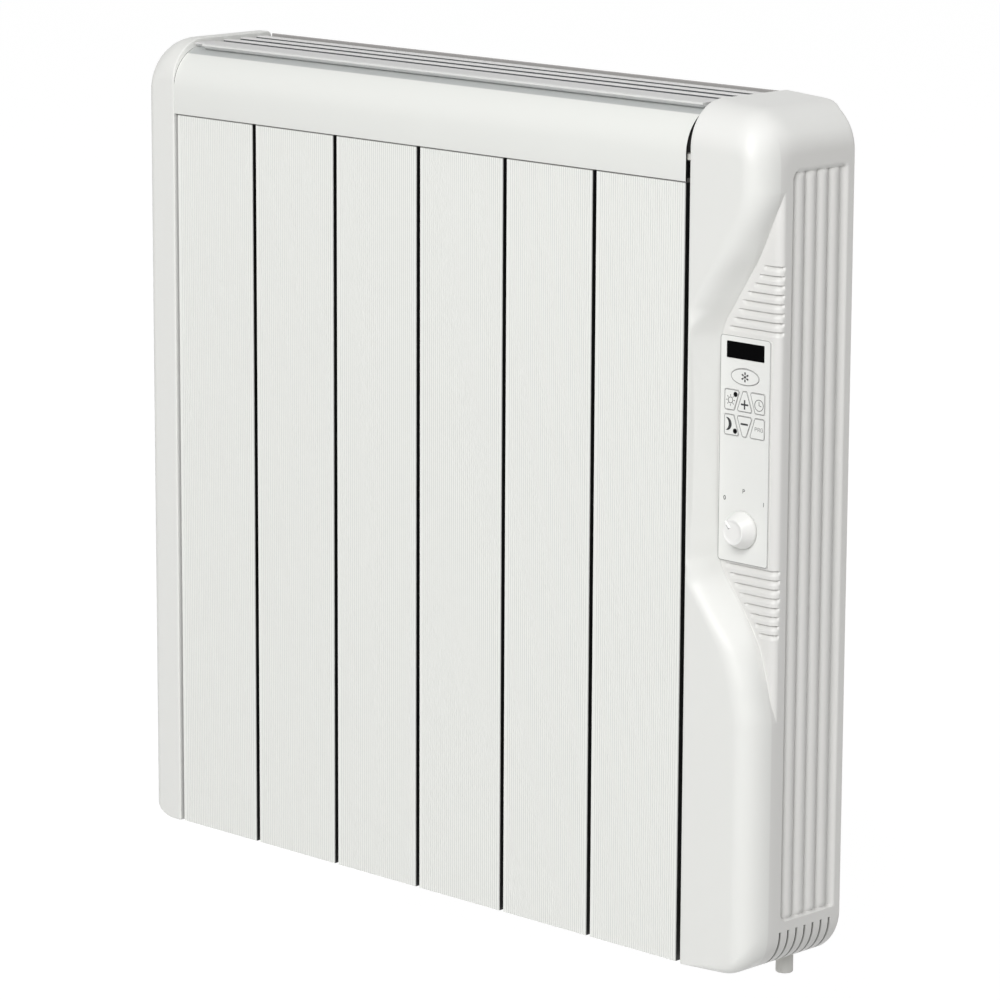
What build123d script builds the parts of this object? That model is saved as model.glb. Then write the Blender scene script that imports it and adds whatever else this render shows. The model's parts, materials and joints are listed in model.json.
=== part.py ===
"""Wall-hung electric radiator with six aluminium elements.

Millimetres, +Z up. The front faces -Y and the wall lies at Y = 0.
The origin is the centre of the four wall bolts, on the wall plane.
"""
from build123d import *
import math
import os

# Overall places
element_count = 6
element_pitch = 83.1
element_gap = 3.3
body_height = 585.0
cap_depth = 98.0
cap_proud = 2.0
wall_gap = 4.0
bolt_centre_lift = 17.5
cover_height = 40.0
overrun = 5.0
moving_clearance = 0.3
seat_clearance = 0.05
screw_clearance = 0.05

pack_width = element_count * element_pitch
element_height = body_height - cover_height
bolt_centre_height = element_height / 2 + bolt_centre_lift
left_x = -pack_width / 2
right_x = pack_width / 2
cap_front_y = -(cap_depth + wall_gap)
cap_back_y = -wall_gap
front_y = cap_front_y + cap_proud
foot_z = -bolt_centre_height
top_z = foot_z + body_height

# Heating elements: one extrusion each, with a reeded front plate and a tube for the rod
plate_thickness = 2.0
plate_edge = 2.4
edge_chamfer = 0.7
reed_count = 38
reed_depth = 0.3
reed_land_share = 0.5
reed_valley_share = 0.75
lip_depth = 10.0
lip_thickness = 1.6
core_start = 14.0
core_top_drop = 20.0
tube_depth = 40.0
tube_radius = 10.0
web_thickness = 3.0
screw_channel = 4.2
channel_wall = 2.0
rear_plate_depth = 78.0
rear_plate_width = 58.0
fin_thickness = 1.4
fin_places = (17.0, 29.0)
front_fin_length = 34.0
rear_fin_length = 28.0
element_width = element_pitch - element_gap
rear_y = front_y + rear_plate_depth
core_end = element_height - core_top_drop
core_top_z = foot_z + core_end

# Heater rods
rod_radius = 6.0
rod_clearance = 0.15
rod_top_gap = 28.0
rod_lift = 5.0
terminal_radius = 2.5
terminal_length = 9.0
rod_start_z = foot_z + core_start + rod_lift
rod_length = core_top_z - rod_start_z - rod_top_gap

# Rails behind the elements
rail_inset = 70.5
rail_half_height = 15.0
rail_thickness = 2.0
rail_reach = 14.0
rail_hook = 14.0
rail_end_gap = 2.5
rail_block = 10.0
rail_offset = (core_end - core_start) / 2 - rail_inset
rail_left_x = left_x - rail_end_gap
frame_right_gap = 4.4
rail_right_x = right_x + frame_right_gap

# Screws
screw_radius = 2.0
head_radius = 4.0
head_height = 2.2
rail_screw_length = 12.0
frame_screw_length = 9.0
cap_screw_length = 10.0

# Side frames
frame_thickness = 1.5
frame_margin_y = 7.0
frame_margin_z = 9.0
frame_corner = 26.0
frame_left_outer_x = rail_left_x - frame_thickness
frame_right_outer_x = rail_right_x + frame_thickness
harness_hole_radius = 5.0

# Top hood
hood_drop = 53.0
hood_radius = 30.0
hood_thickness = 1.2
hood_proud = 1.5
hood_left_gap = 0.3
hood_right_gap = 1.2
hood_arc_drop = 35.0
hood_rear_reach = 24.5
clip_height = 4.0
clip_depth = 8.0
clip_length = 16.5
clip_lift = 1.0
clip_rim_gap = 0.6
hood_left_x = left_x + hood_left_gap
hood_right_x = right_x - hood_right_gap
hood_front_y = front_y - hood_proud
hood_bottom_z = top_z - hood_drop
hood_centre_y = hood_front_y + hood_radius
hood_centre_z = top_z - hood_arc_drop

# Top grille
grille_end_gap = 2.0
grille_top_drop = 2.4
lip_nose = 12.5
lip_under = 17.5
lip_nose_height = 4.0
lip_bead = 1.2
lip_bead_step = 0.8
lip_back = 36.5
lip_sheet = 1.6
lip_flange = 10.8
blade_width = 7.5
blade_height = 10.0
blade_sheet = 1.2
blade_round = 1.5
blade_places = (49.7, 66.5, 82.5)
back_rail_sheet = 1.6
back_rail_height = 28.0
back_rail_flange = 12.0
support_thickness = 3.0
support_front = 31.0
support_slots = (0, 3, 5)
grille_top_z = top_z - grille_top_drop
blade_bottom_z = grille_top_z - blade_height
grille_left_x = left_x + grille_end_gap
grille_right_x = right_x - grille_end_gap - hood_right_gap
back_rail_y = cap_back_y - back_rail_sheet

# End caps, both lofted through sections along X
wall = 2.6
section_count = 9
least_round = 0.6
left_cap_gap = 0.5
left_cap_width = 31.0
left_cap_round_x = 24.0
left_front_round_x = 10.0
left_front_round_y = 16.0
left_edge_round_z = 24.0
right_cap_gap = 1.8
right_cap_width = 63.2
right_cap_round_x = 26.0
right_front_round_x = 14.0
right_front_round_y = 26.0
right_edge_round_z = 27.0
top_front_round = 30.0
rear_round = 4.0
lower_front_round = 12.0
top_slope = 0.07
post_radius = 4.5
post_depths = (30.0, 82.0)
post_low = 60.0
post_top_drop = 65.0
post_heights = (post_low, body_height - post_top_drop)
left_cap_inner_x = left_x - left_cap_gap
left_cap_outer_x = left_cap_inner_x - left_cap_width
right_cap_inner_x = right_x + right_cap_gap
right_cap_outer_x = right_cap_inner_x + right_cap_width

# Control recess in the right cap
recess_left = 13.3
recess_floor = 19.2
recess_top_drop = 228.7
recess_half_straight = 78.5
recess_knee_x = 46.1
recess_knee_z = 49.0
recess_exit_x = 66.0
recess_exit_z = 102.0
recess_bend = 20.0
recess_round_x = 13.5
recess_steps = 6
groove_count = 8
groove_pitch = 6.18
groove_radius = 1.7
groove_first = 79.8
groove_left_step = 4.1
groove_inset = 7.4
recess_x = right_cap_inner_x + recess_left
recess_z = top_z - recess_top_drop
floor_y = front_y + recess_floor

# Fluted field and air slots of the right cap
field_front = 30.5
field_back = 83.5
field_low = 35.0
field_top_drop = 43.0
field_depth = 2.0
field_corner = 6.0
rib_count = 4
rib_pitch = 11.7
rib_width = 10.6
rib_height = 1.8
rib_end_gap = 3.0
slot_count = 7
slot_pitch = 8.45
slot_width = 1.8
slot_first = 30.5
slot_height = 28.0
slot_reach = 24.0
field_x = right_cap_outer_x - field_depth

# Control fascia and what it carries
fascia_width = 43.4
fascia_height = 152.0
fascia_thickness = 1.2
fascia_corner = 2.0
fascia_gap = 0.3
fascia_drop = 1.3
window_width = 32.8
window_height = 11.3
window_lift = 66.6
window_corner = 0.6
window_thickness = 1.0
key_proud = 0.2
key_flange = 0.8
key_flange_thickness = 1.2
key_corner = 1.2
key_stem = 4.0
key_travel = 0.5
key_gap = 0.1
frost_width = 24.4
frost_height = 11.0
frost_lift = 49.5
key_height = 13.8
key_outer_long = 13.0
key_outer_short = 8.5
key_middle_long = 13.6
key_middle_short = 3.6
key_field_width = 35.0
upper_row_lift = 33.1
lower_row_lift = 16.3
lamp_radius = 1.3
lamp_inset_x = 9.5
lamp_inset_z = 3.0
window_margin = 2.4
legend_x = recess_x + fascia_gap + fascia_width / 2
fascia_z = recess_z - fascia_drop
fascia_y = floor_y - fascia_thickness

# Selector
knob_drop = 53.0
knob_radius = 12.5
knob_front_radius = 9.0
knob_height = 11.0
knob_skirt = 2.0
knob_edge = 1.2
pointer_width = 1.3
pointer_height = 0.5
pointer_start = 3.0
pointer_angle = 132.0
shaft_radius = 3.0
shaft_length = 24.0
shaft_tail = 2.0
shaft_running_clearance = 0.05
shaft_hole_radius = 4.0
switch_radius = 11.0
switch_depth = 14.0
knob_z = fascia_z - knob_drop

# Boards
board_thickness = 1.6
board_depth = 30.0
board_width = 42.0
board_low = -3.0
board_high = 78.0
board_post_radius = 2.2
board_post_inset = 3.0
tact_size = 6.0
tact_height = 4.0
display_width = 31.0
display_height = 10.0
power_board_gap = 4.0
power_board_width = 54.0
power_board_height = 120.0
power_board_depth = 60.0
power_board_lift = 250.0
standoff_radius = 2.5
standoff_inset = 5.0
relay_size = (15.0, 16.0, 28.0)
transformer_size = (22.0, 28.0, 34.0)
component_spread = 24.0
board_y = front_y + board_depth

# Mains entry and sensors
gland_x_inset = 22.6
gland_depth = 62.0
gland_radius = 6.0
gland_bore = 3.6
gland_length = 27.0
gland_drop = 11.0
gland_taper = 0.6
gland_boss_radius = 10.5
gland_boss_height = 7.8
nut_radius = 9.5
nut_height = 5.0
nut_sides = 6
clamp_width = 26.0
clamp_height = 10.0
clamp_depth = 14.0
clamp_lift = 40.0
terminal_block_size = (16.0, 40.0, 18.0)
terminal_block_lift = 110.0
terminal_count = 4
terminal_hole = 2.0
harness_radius = 3.0
harness_bend = 14.0
harness_left = 30.0
harness_rise = 34.0
sensor_radius = 3.0
sensor_length = 14.0
sensor_depth = 14.0
sensor_height = 45.0
cutout_radius = 8.0
cutout_height = 8.0
cutout_drop = 35.0
gland_x = right_cap_outer_x - gland_x_inset
gland_y = front_y + gland_depth

# Wall brackets
bolt_spacing_x = 300.0
bolt_beyond_rail = 30.0
bolt_spacing_z = (rail_offset + bolt_beyond_rail) * 2
bolt_hole_radius = 2.75
bracket_width = 32.0
bracket_sheet = 2.0
bracket_end = 13.0
tongue_gap = 4.0
tongue_drop = 22.0


def block(x0, x1, y0, y1, z0, z1):
    """A box between two corners."""
    return Pos((x0 + x1) / 2, (y0 + y1) / 2, (z0 + z1) / 2) * Box(x1 - x0, y1 - y0, z1 - z0)


def rod_x(radius, x0, x1, y, z):
    """A round bar along X."""
    return Pos((x0 + x1) / 2, y, z) * Rot(0, 90, 0) * Cylinder(radius, x1 - x0)


def rod_y(radius, x, y0, y1, z):
    """A round bar along Y."""
    return Pos(x, (y0 + y1) / 2, z) * Rot(90, 0, 0) * Cylinder(radius, y1 - y0)


def rod_z(radius, x, y, z0, z1):
    """A round bar along Z."""
    return Pos(x, y, (z0 + z1) / 2) * Cylinder(radius, z1 - z0)


def side_plane(x):
    """The plane at X whose sketch runs along Y and up."""
    return Plane(origin=(x, 0, 0), x_dir=(0, 1, 0), z_dir=(1, 0, 0))


def front_plane(y):
    """The plane at Y whose sketch runs along X and up; its normal points to the viewer."""
    return Plane(origin=(0, y, 0), x_dir=(1, 0, 0), z_dir=(0, -1, 0))


def along_x(sketch, x0, x1):
    """Carry an outline in (Y, Z) from x0 to x1."""
    return extrude(side_plane(x0) * sketch, amount=x1 - x0)


def along_y(sketch, y0, y1):
    """Carry an outline in (X, Z) from y0 to y1."""
    return extrude(front_plane(y1) * sketch, amount=y1 - y0)


def along_z(sketch, z0, z1):
    """Carry an outline in (X, Y) from z0 to z1."""
    return extrude(Plane.XY.offset(z0) * sketch, amount=z1 - z0)


def outline(points):
    """A face inside a closed line of points."""
    return make_face(Polyline(*points, close=True))


def screw_along_y(x, y, z, length, head):
    """A pan-head screw that points to -Y, with the underside of its head at y."""
    return rod_y(screw_radius, x, y - length, y, z) + rod_y(head_radius, x, y, y + head, z)


def screw_along_x(x, y, z, length, sign):
    """A pan-head screw whose shank runs from x towards sign along X."""
    shank = sorted((x, x + sign * length))
    head = sorted((x, x - sign * head_height))
    return rod_x(screw_radius, shank[0], shank[1], y, z) + rod_x(head_radius, head[0], head[1], y, z)


def element_mid_x(index):
    """Middle of one heating element."""
    return left_x + (index + 1 / 2) * element_pitch


def reeded_plate(x_mid):
    """Section of the front plate: plain edges, fine vertical reeds between them."""
    x0 = x_mid - element_width / 2
    x1 = x_mid + element_width / 2
    pitch = (element_width - plate_edge * 2) / reed_count
    points = [(x0, front_y + plate_thickness), (x0, front_y + edge_chamfer), (x0 + edge_chamfer, front_y)]
    for reed in range(reed_count):
        start = x0 + plate_edge + reed * pitch
        points.append((start, front_y))
        points.append((start + pitch * reed_land_share, front_y))
        points.append((start + pitch * reed_valley_share, front_y + reed_depth))
    points.append((x1 - plate_edge, front_y))
    points.append((x1 - edge_chamfer, front_y))
    points.append((x1, front_y + edge_chamfer))
    points.append((x1, front_y + plate_thickness))
    return outline(points)


def strip(x0, x1, y0, y1):
    """A rectangle between two corners, for the element's section."""
    return Pos((x0 + x1) / 2, (y0 + y1) / 2) * Rectangle(x1 - x0, y1 - y0)


def element(index):
    """One element: front plate with side lips, webs, tube, rear plate and air fins."""
    mid = element_mid_x(index)
    plate_y = front_y + plate_thickness
    tube_y = front_y + tube_depth
    half = element_width / 2
    front = reeded_plate(mid)
    front += strip(mid - half, mid - half + lip_thickness, plate_y, front_y + lip_depth)
    front += strip(mid + half - lip_thickness, mid + half, plate_y, front_y + lip_depth)
    core = strip(mid - web_thickness / 2, mid + web_thickness / 2, plate_y, tube_y)
    core += Pos(mid, tube_y) * Circle(tube_radius)
    channel = screw_channel / 2
    core += strip(mid - channel - channel_wall, mid - channel, tube_y, rear_y)
    core += strip(mid + channel, mid + channel + channel_wall, tube_y, rear_y)
    half_rear = rear_plate_width / 2
    core += strip(mid - half_rear, mid + half_rear, rear_y - plate_thickness, rear_y)
    for place in fin_places:
        for side in (-1, 1):
            fin_x = mid + side * place
            fin = (fin_x - fin_thickness / 2, fin_x + fin_thickness / 2)
            core += strip(fin[0], fin[1], plate_y, plate_y + front_fin_length)
            core += strip(fin[0], fin[1], rear_y - plate_thickness - rear_fin_length, rear_y - plate_thickness)
    core -= Pos(mid, tube_y) * Circle(rod_radius + rod_clearance)
    body = along_z(front, foot_z, foot_z + element_height) + along_z(core, foot_z + core_start, core_top_z)
    for side in (-1, 1):
        body -= rod_y(screw_radius + screw_clearance, mid, rear_y - plate_thickness - overrun / 2,
                      rear_y + overrun, side * rail_offset)
    return body


def heater_rod(index):
    """Cartridge heater with its terminal pin, inside the element's tube."""
    mid = element_mid_x(index)
    y = front_y + tube_depth
    rod = rod_z(rod_radius, mid, y, rod_start_z, rod_start_z + rod_length)
    return rod + rod_z(terminal_radius, mid, y, rod_start_z - terminal_length, rod_start_z)


def rail(side):
    """Folded steel rail behind the elements, hooked over the wall brackets."""
    mid = side * rail_offset
    high = mid + rail_half_height
    back = rear_y + rail_reach
    t = rail_thickness
    section = outline([(rear_y, mid - rail_half_height), (rear_y + t, mid - rail_half_height),
                       (rear_y + t, high - t), (back - t, high - t), (back - t, high - rail_hook),
                       (back, high - rail_hook), (back, high), (rear_y, high)])
    body = along_x(section, rail_left_x, rail_right_x)
    for index in range(element_count):
        body -= rod_y(screw_radius + screw_clearance, element_mid_x(index), rear_y - overrun,
                      rear_y + t + overrun, mid)
    for x0, x1 in ((rail_left_x, rail_left_x + rail_block), (rail_right_x - rail_block, rail_right_x)):
        body += block(x0, x1, rear_y + t, back - t, high - t - rail_block, high - t)
        body -= rod_x(screw_radius + screw_clearance, x0 - overrun, x1 + overrun, rail_block_y(), rail_block_z(side))
    return body


def rail_block_y():
    """Middle of the threaded block at a rail's end."""
    return rear_y + rail_reach / 2


def rail_block_z(side):
    """Height of the threaded block at a rail's end."""
    return side * rail_offset + rail_half_height - rail_thickness - rail_block / 2


def rail_screws():
    """Screws from the rails into the elements' rear channels."""
    return [screw_along_y(element_mid_x(index), rear_y + rail_thickness, side * rail_offset,
                          rail_screw_length, head_height)
            for side in (-1, 1) for index in range(element_count)]


def post_place(depth, height):
    """Y and Z of a cap's screw post."""
    return front_y + depth, foot_z + height


def side_frame(x0):
    """Flat steel frame at one end: rails screw to it and the end cap hangs on it."""
    y0 = cap_front_y + frame_margin_y
    y1 = cap_back_y - frame_margin_y
    z0 = foot_z + frame_margin_z
    z1 = top_z - frame_margin_z
    face = rounded_section(y0, y1, z0, z1, least_round, frame_corner, least_round, least_round)
    body = along_x(face, x0, x0 + frame_thickness)
    for side in (-1, 1):
        body -= rod_x(screw_radius + screw_clearance, x0 - overrun, x0 + frame_thickness + overrun,
                      rail_block_y(), rail_block_z(side))
    for depth in post_depths:
        for height in post_heights:
            y, z = post_place(depth, height)
            body -= rod_x(screw_radius + screw_clearance, x0 - overrun, x0 + frame_thickness + overrun, y, z)
    return body


def frame_screws():
    """Screws from the side frames into the rails' end blocks."""
    screws = []
    for side in (-1, 1):
        screws.append(screw_along_x(frame_left_outer_x, rail_block_y(), rail_block_z(side), frame_screw_length, 1))
        screws.append(screw_along_x(frame_right_outer_x, rail_block_y(), rail_block_z(side), frame_screw_length, -1))
    return screws


def cap_screws(x, sign):
    """Screws from a side frame into the posts of its end cap."""
    places = [post_place(depth, height) for depth in post_depths for height in post_heights]
    return [screw_along_x(x, y, z, cap_screw_length, sign) for y, z in places]


def rounded_section(y0, y1, z0, z1, low_front, high_front, high_back, low_back):
    """A rectangle in (Y, Z) with its own radius at each corner."""
    edges = [
        Line((y0 + low_front, z0), (y1 - low_back, z0)),
        CenterArc((y1 - low_back, z0 + low_back), low_back, 270, 90),
        Line((y1, z0 + low_back), (y1, z1 - high_back)),
        CenterArc((y1 - high_back, z1 - high_back), high_back, 0, 90),
        Line((y1 - high_back, z1), (y0 + high_front, z1)),
        CenterArc((y0 + high_front, z1 - high_front), high_front, 90, 90),
        Line((y0, z1 - high_front), (y0, z0 + low_front)),
        CenterArc((y0 + low_front, z0 + low_front), low_front, 180, 90),
    ]
    return make_face(Wire(edges))


def quarter_inset(distance, reach, depth):
    """How far a quarter-ellipse round has drawn in at a distance from the outer face."""
    if distance >= reach:
        return 0.0
    across = 1 - distance / reach
    return depth * (1 - math.sqrt(1 - across * across))


def cap_solid(outer_x, inner_x, round_x, front_x, front_depth, edge_z, slope, low_round, inset):
    """An end cap's full outer form, or with an inset the hollow inside it.

    Sections in (Y, Z) follow each other along X, from the outer face to the open side.
    """
    sign = 1 if inner_x > outer_x else -1
    reach = round_x - inset
    stations = [reach * (1 - math.cos(math.pi / 2 * step / section_count)) for step in range(section_count + 1)]
    width = abs(inner_x - outer_x) - inset
    stations.append(width + (overrun if inset else 0))
    sections = []
    for distance in stations:
        x = outer_x + sign * (distance + inset)
        front = quarter_inset(distance, front_x - inset, front_depth - inset)
        edge = quarter_inset(distance, reach, edge_z - inset)
        y0 = cap_front_y + inset + front
        y1 = cap_back_y - inset - min(edge, rear_round)
        z0 = foot_z + inset + edge
        z1 = top_z - inset - edge - slope * max(width - distance, 0)
        grown = 1 - min(distance / max(width - overrun, least_round), 1)
        low_front = least_round + (low_round - least_round) * grown
        high_front = max(top_front_round - inset - front / 2, least_round)
        face = rounded_section(y0, y1, z0, z1, low_front, high_front, rear_round - inset / 2, rear_round - inset / 2)
        sections.append(side_plane(x) * face)
    return loft(sections, ruled=True)


def cap_posts(x0, x1):
    """Screw posts between a cap's side wall and its side frame."""
    posts = []
    for depth in post_depths:
        for height in post_heights:
            y, z = post_place(depth, height)
            posts.append(rod_x(post_radius, x0, x1, y, z))
    return posts


def post_bores(x0, x1):
    """Pilot holes in the posts of a cap."""
    bores = []
    for depth in post_depths:
        for height in post_heights:
            y, z = post_place(depth, height)
            bores.append(rod_x(screw_radius + screw_clearance, x0, x1, y, z))
    return bores


def left_end_cap():
    """Moulded left cover: a shell that is open towards the elements."""
    sizes = (left_cap_round_x, left_front_round_x, left_front_round_y, left_edge_round_z, 0.0, least_round)
    body = cap_solid(left_cap_outer_x, left_cap_inner_x, *sizes, 0.0)
    body -= cap_solid(left_cap_outer_x, left_cap_inner_x, *sizes, wall)
    for post in cap_posts(left_cap_outer_x + wall - seat_clearance, frame_left_outer_x):
        body += post
    bore_depth = cap_screw_length + screw_clearance
    for bore in post_bores(frame_left_outer_x - bore_depth, frame_left_outer_x + overrun):
        body -= bore
    return body


def recess_outline(margin):
    """Left side of the control recess in (X, Z), closed outside the cap on its right."""
    x = recess_x - margin
    straight = recess_half_straight + margin
    far = right_cap_outer_x + recess_exit_x
    rises = [(recess_knee_x, recess_knee_z), (recess_exit_x, recess_exit_z)]
    low = [(x + across - recess_left, recess_z - straight - rise) for across, rise in rises]
    high = [(x + across - recess_left, recess_z + straight + rise) for across, rise in rises]
    line = [(far, low[-1][1]), low[-1], low[0], (x, recess_z - straight)]
    line += [(x, recess_z + straight), high[0], high[-1], (far, high[-1][1])]
    return make_face(FilletPolyline(*line, radius=recess_bend, close=True))


def recess_cutter(margin):
    """The recess as slanted slices, whose left wall follows a quarter ellipse."""
    depth = floor_y - cap_front_y + margin
    sketch = recess_outline(margin)
    shift = [-recess_round_x * (1 - math.sin(math.pi / 2 * step / recess_steps)) for step in range(recess_steps + 1)]
    reach = [depth * (1 - math.cos(math.pi / 2 * step / recess_steps)) for step in range(recess_steps + 1)]
    cutter = along_y(Pos(shift[0], 0) * sketch, cap_front_y - overrun, cap_front_y)
    for step in range(recess_steps):
        across = shift[step + 1] - shift[step]
        along = reach[step + 1] - reach[step]
        start = front_plane(cap_front_y + reach[step]) * (Pos(shift[step], 0) * sketch)
        cutter += extrude(start, amount=math.hypot(across, along), dir=(across, along, 0))
    return cutter


def groove_cutters():
    """Sixteen short half-round grooves on the recess floor, above and below the fascia."""
    cutters = []
    for side in (-1, 1):
        for index in range(groove_count):
            z = recess_z + side * (groove_first + index * groove_pitch)
            x0 = recess_x + groove_inset + index * groove_left_step
            cutters.append(rod_x(groove_radius, x0, right_cap_outer_x + overrun, floor_y, z))
            cutters.append(Pos(x0, floor_y, z) * Sphere(groove_radius))
    return cutters


def fluted_field(body):
    """Sunk field on the cap's side with four full-height ribs."""
    y0, y1 = front_y + field_front, front_y + field_back
    z0, z1 = foot_z + field_low, top_z - field_top_drop
    face = rounded_section(y0, y1, z0, z1, field_corner, field_corner, field_corner, field_corner)
    body -= along_x(face, field_x, right_cap_outer_x + overrun)
    rib_radius = (rib_width ** 2 / 4 + rib_height ** 2) / (2 * rib_height)
    first = (y0 + y1) / 2 - rib_pitch * (rib_count - 1) / 2
    for index in range(rib_count):
        y = first + index * rib_pitch
        rib = rod_z(rib_radius, field_x + rib_height - rib_radius, y, z0 + rib_end_gap, z1 - rib_end_gap)
        body += rib & block(field_x - seat_clearance, right_cap_outer_x, y0, y1, z0, z1)
    return body


def slot_cutters():
    """Air slots round the cap's lower edge."""
    cutters = []
    for index in range(slot_count):
        y = front_y + slot_first + index * slot_pitch
        cutters.append(block(right_cap_outer_x - slot_reach, right_cap_outer_x + overrun,
                             y - slot_width / 2, y + slot_width / 2, foot_z - overrun, foot_z + slot_height))
    return cutters


def right_end_cap():
    """Moulded right cover: shell with the control recess, fluted field and air slots."""
    sizes = (right_cap_round_x, right_front_round_x, right_front_round_y, right_edge_round_z, top_slope,
             lower_front_round)
    body = cap_solid(right_cap_outer_x, right_cap_inner_x, *sizes, 0.0)
    hollow = cap_solid(right_cap_outer_x, right_cap_inner_x, *sizes, wall)
    hollow -= block(field_x - wall, right_cap_outer_x, cap_front_y, cap_back_y, foot_z, top_z)
    hollow -= recess_cutter(wall)
    body -= recess_cutter(0)
    body -= hollow
    for cutter in groove_cutters():
        body -= cutter
    body = fluted_field(body)
    for cutter in slot_cutters():
        body -= cutter
    for post in cap_posts(frame_right_outer_x, field_x - wall + seat_clearance):
        body += post
    bore_depth = cap_screw_length + screw_clearance
    for bore in post_bores(frame_right_outer_x - overrun, frame_right_outer_x + bore_depth):
        body -= bore
    for x, z in board_posts():
        body += rod_y(board_post_radius, x, floor_y + wall - seat_clearance, board_y, z)
    body -= control_openings()
    boss_top = foot_z + gland_boss_height
    body += rod_z(gland_boss_radius, gland_x, gland_y, foot_z + wall / 2, boss_top)
    body -= rod_z(gland_radius + seat_clearance, gland_x, gland_y, foot_z - overrun, boss_top + overrun)
    return body


def control_openings():
    """Openings of the recess floor behind the display, the keys and the shaft."""
    y0, y1 = floor_y - overrun / 2, floor_y + wall + seat_clearance
    half = key_field_width / 2 + window_margin
    low = fascia_z + lower_row_lift - key_height / 2 - window_margin
    high = fascia_z + frost_lift + frost_height / 2 + window_margin
    cut = block(legend_x - half, legend_x + half, y0, y1, low, high)
    mid = fascia_z + window_lift
    cut += block(legend_x - window_width / 2, legend_x + window_width / 2, y0, y1,
                 mid - window_height / 2, mid + window_height / 2)
    cut += rod_y(shaft_hole_radius, legend_x, y0, y1, knob_z)
    return cut


def top_hood():
    """Curved front cover over the elements' tops."""
    inner = hood_radius - hood_thickness
    end = math.acos((hood_rear_reach - hood_radius) / hood_radius)
    tip = [(hood_centre_y + r * math.cos(end), hood_centre_z + r * math.sin(end)) for r in (hood_radius, inner)]
    turn = 180 - math.degrees(end)
    edges = [
        Line((hood_front_y, hood_bottom_z), (hood_front_y, hood_centre_z)),
        CenterArc((hood_centre_y, hood_centre_z), hood_radius, 180, -turn),
        Line(tip[0], tip[1]),
        CenterArc((hood_centre_y, hood_centre_z), inner, 180 - turn, turn),
        Line((hood_front_y + hood_thickness, hood_centre_z), (hood_front_y + hood_thickness, hood_bottom_z)),
        Line((hood_front_y + hood_thickness, hood_bottom_z), (hood_front_y, hood_bottom_z)),
    ]
    return along_x(make_face(Wire(edges)), hood_left_x, hood_right_x)


def hood_clips():
    """Plastic clips that carry the hood on the side frames."""
    z0 = foot_z + element_height + clip_lift
    z1 = z0 + clip_height
    y0 = hood_front_y + hood_thickness
    y1 = y0 + clip_depth
    rim_y = cap_front_y + wall + clip_rim_gap
    left = block(hood_left_x, rail_left_x + clip_length, y0, y1, z0, z1)
    left += block(rail_left_x, hood_left_x, rim_y, y1, z0, z1)
    right = block(rail_right_x - clip_length, hood_right_x, y0, y1, z0, z1)
    right += block(hood_right_x, rail_right_x, rim_y, y1, z0, z1)
    return [left, right]


def grille_lip():
    """Front bar of the grille, with an undercut nose above the hood."""
    top = grille_top_z
    low = top - lip_nose_height
    y_back = front_y + lip_back
    nose = front_y + lip_nose
    under = front_y + lip_under
    section = outline([
        (under, low), (nose, top - lip_bead), (nose + lip_bead_step, top), (y_back, top),
        (y_back, top - lip_flange + lip_bead_step), (y_back - lip_sheet, top - lip_flange + lip_bead_step),
        (y_back - lip_sheet, top - lip_sheet), (under + lip_bead, top - lip_sheet), (under + lip_bead, low)])
    return along_x(section, grille_left_x, grille_right_x)


def grille_blade(place):
    """One louvre blade: an inverted channel with rounded shoulders."""
    y0 = front_y + place - blade_width / 2
    y1 = y0 + blade_width
    top = grille_top_z
    face = rounded_section(y0, y1, blade_bottom_z - blade_height, top, least_round, blade_round, blade_round,
                           least_round)
    face -= Pos((y0 + y1) / 2, blade_bottom_z - blade_sheet) * Rectangle(
        blade_width - blade_sheet * 2, blade_height * 2)
    face -= Pos((y0 + y1) / 2, blade_bottom_z - blade_height / 2) * Rectangle(blade_width * 2, blade_height)
    return along_x(face, grille_left_x, grille_right_x)


def grille_back_rail():
    """Angle rail at the rear edge of the grille."""
    top = grille_top_z + lip_bead_step
    low = top - back_rail_height
    inner = back_rail_y
    section = outline([
        (inner - back_rail_flange, low), (cap_back_y, low), (cap_back_y, top), (inner, top),
        (inner, low + back_rail_sheet), (inner - back_rail_flange, low + back_rail_sheet)])
    return along_x(section, grille_left_x, grille_right_x)


def grille_supports():
    """Upright plates on the elements that carry the grille."""
    low_back = grille_top_z + lip_bead_step - back_rail_height
    y0 = front_y + support_front
    shelf_y = back_rail_y - back_rail_flange
    plates = []
    for index in support_slots:
        mid = element_mid_x(index)
        face = outline([
            (y0, core_top_z), (rear_y, core_top_z), (rear_y, low_back), (shelf_y, low_back),
            (shelf_y, low_back + back_rail_sheet), (back_rail_y, low_back + back_rail_sheet),
            (back_rail_y, blade_bottom_z), (y0, blade_bottom_z)])
        plates.append(along_x(face, mid - support_thickness / 2, mid + support_thickness / 2))
    return plates


def trapezoid(low_left, low_right, high_left, high_right, mid_z):
    """A key outline with level top and bottom and rounded corners."""
    z0, z1 = mid_z - key_height / 2, mid_z + key_height / 2
    points = [(low_left, z0), (low_right, z0), (high_right, z1), (high_left, z1)]
    face = outline(points)
    return fillet(face.vertices(), key_corner)


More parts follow.
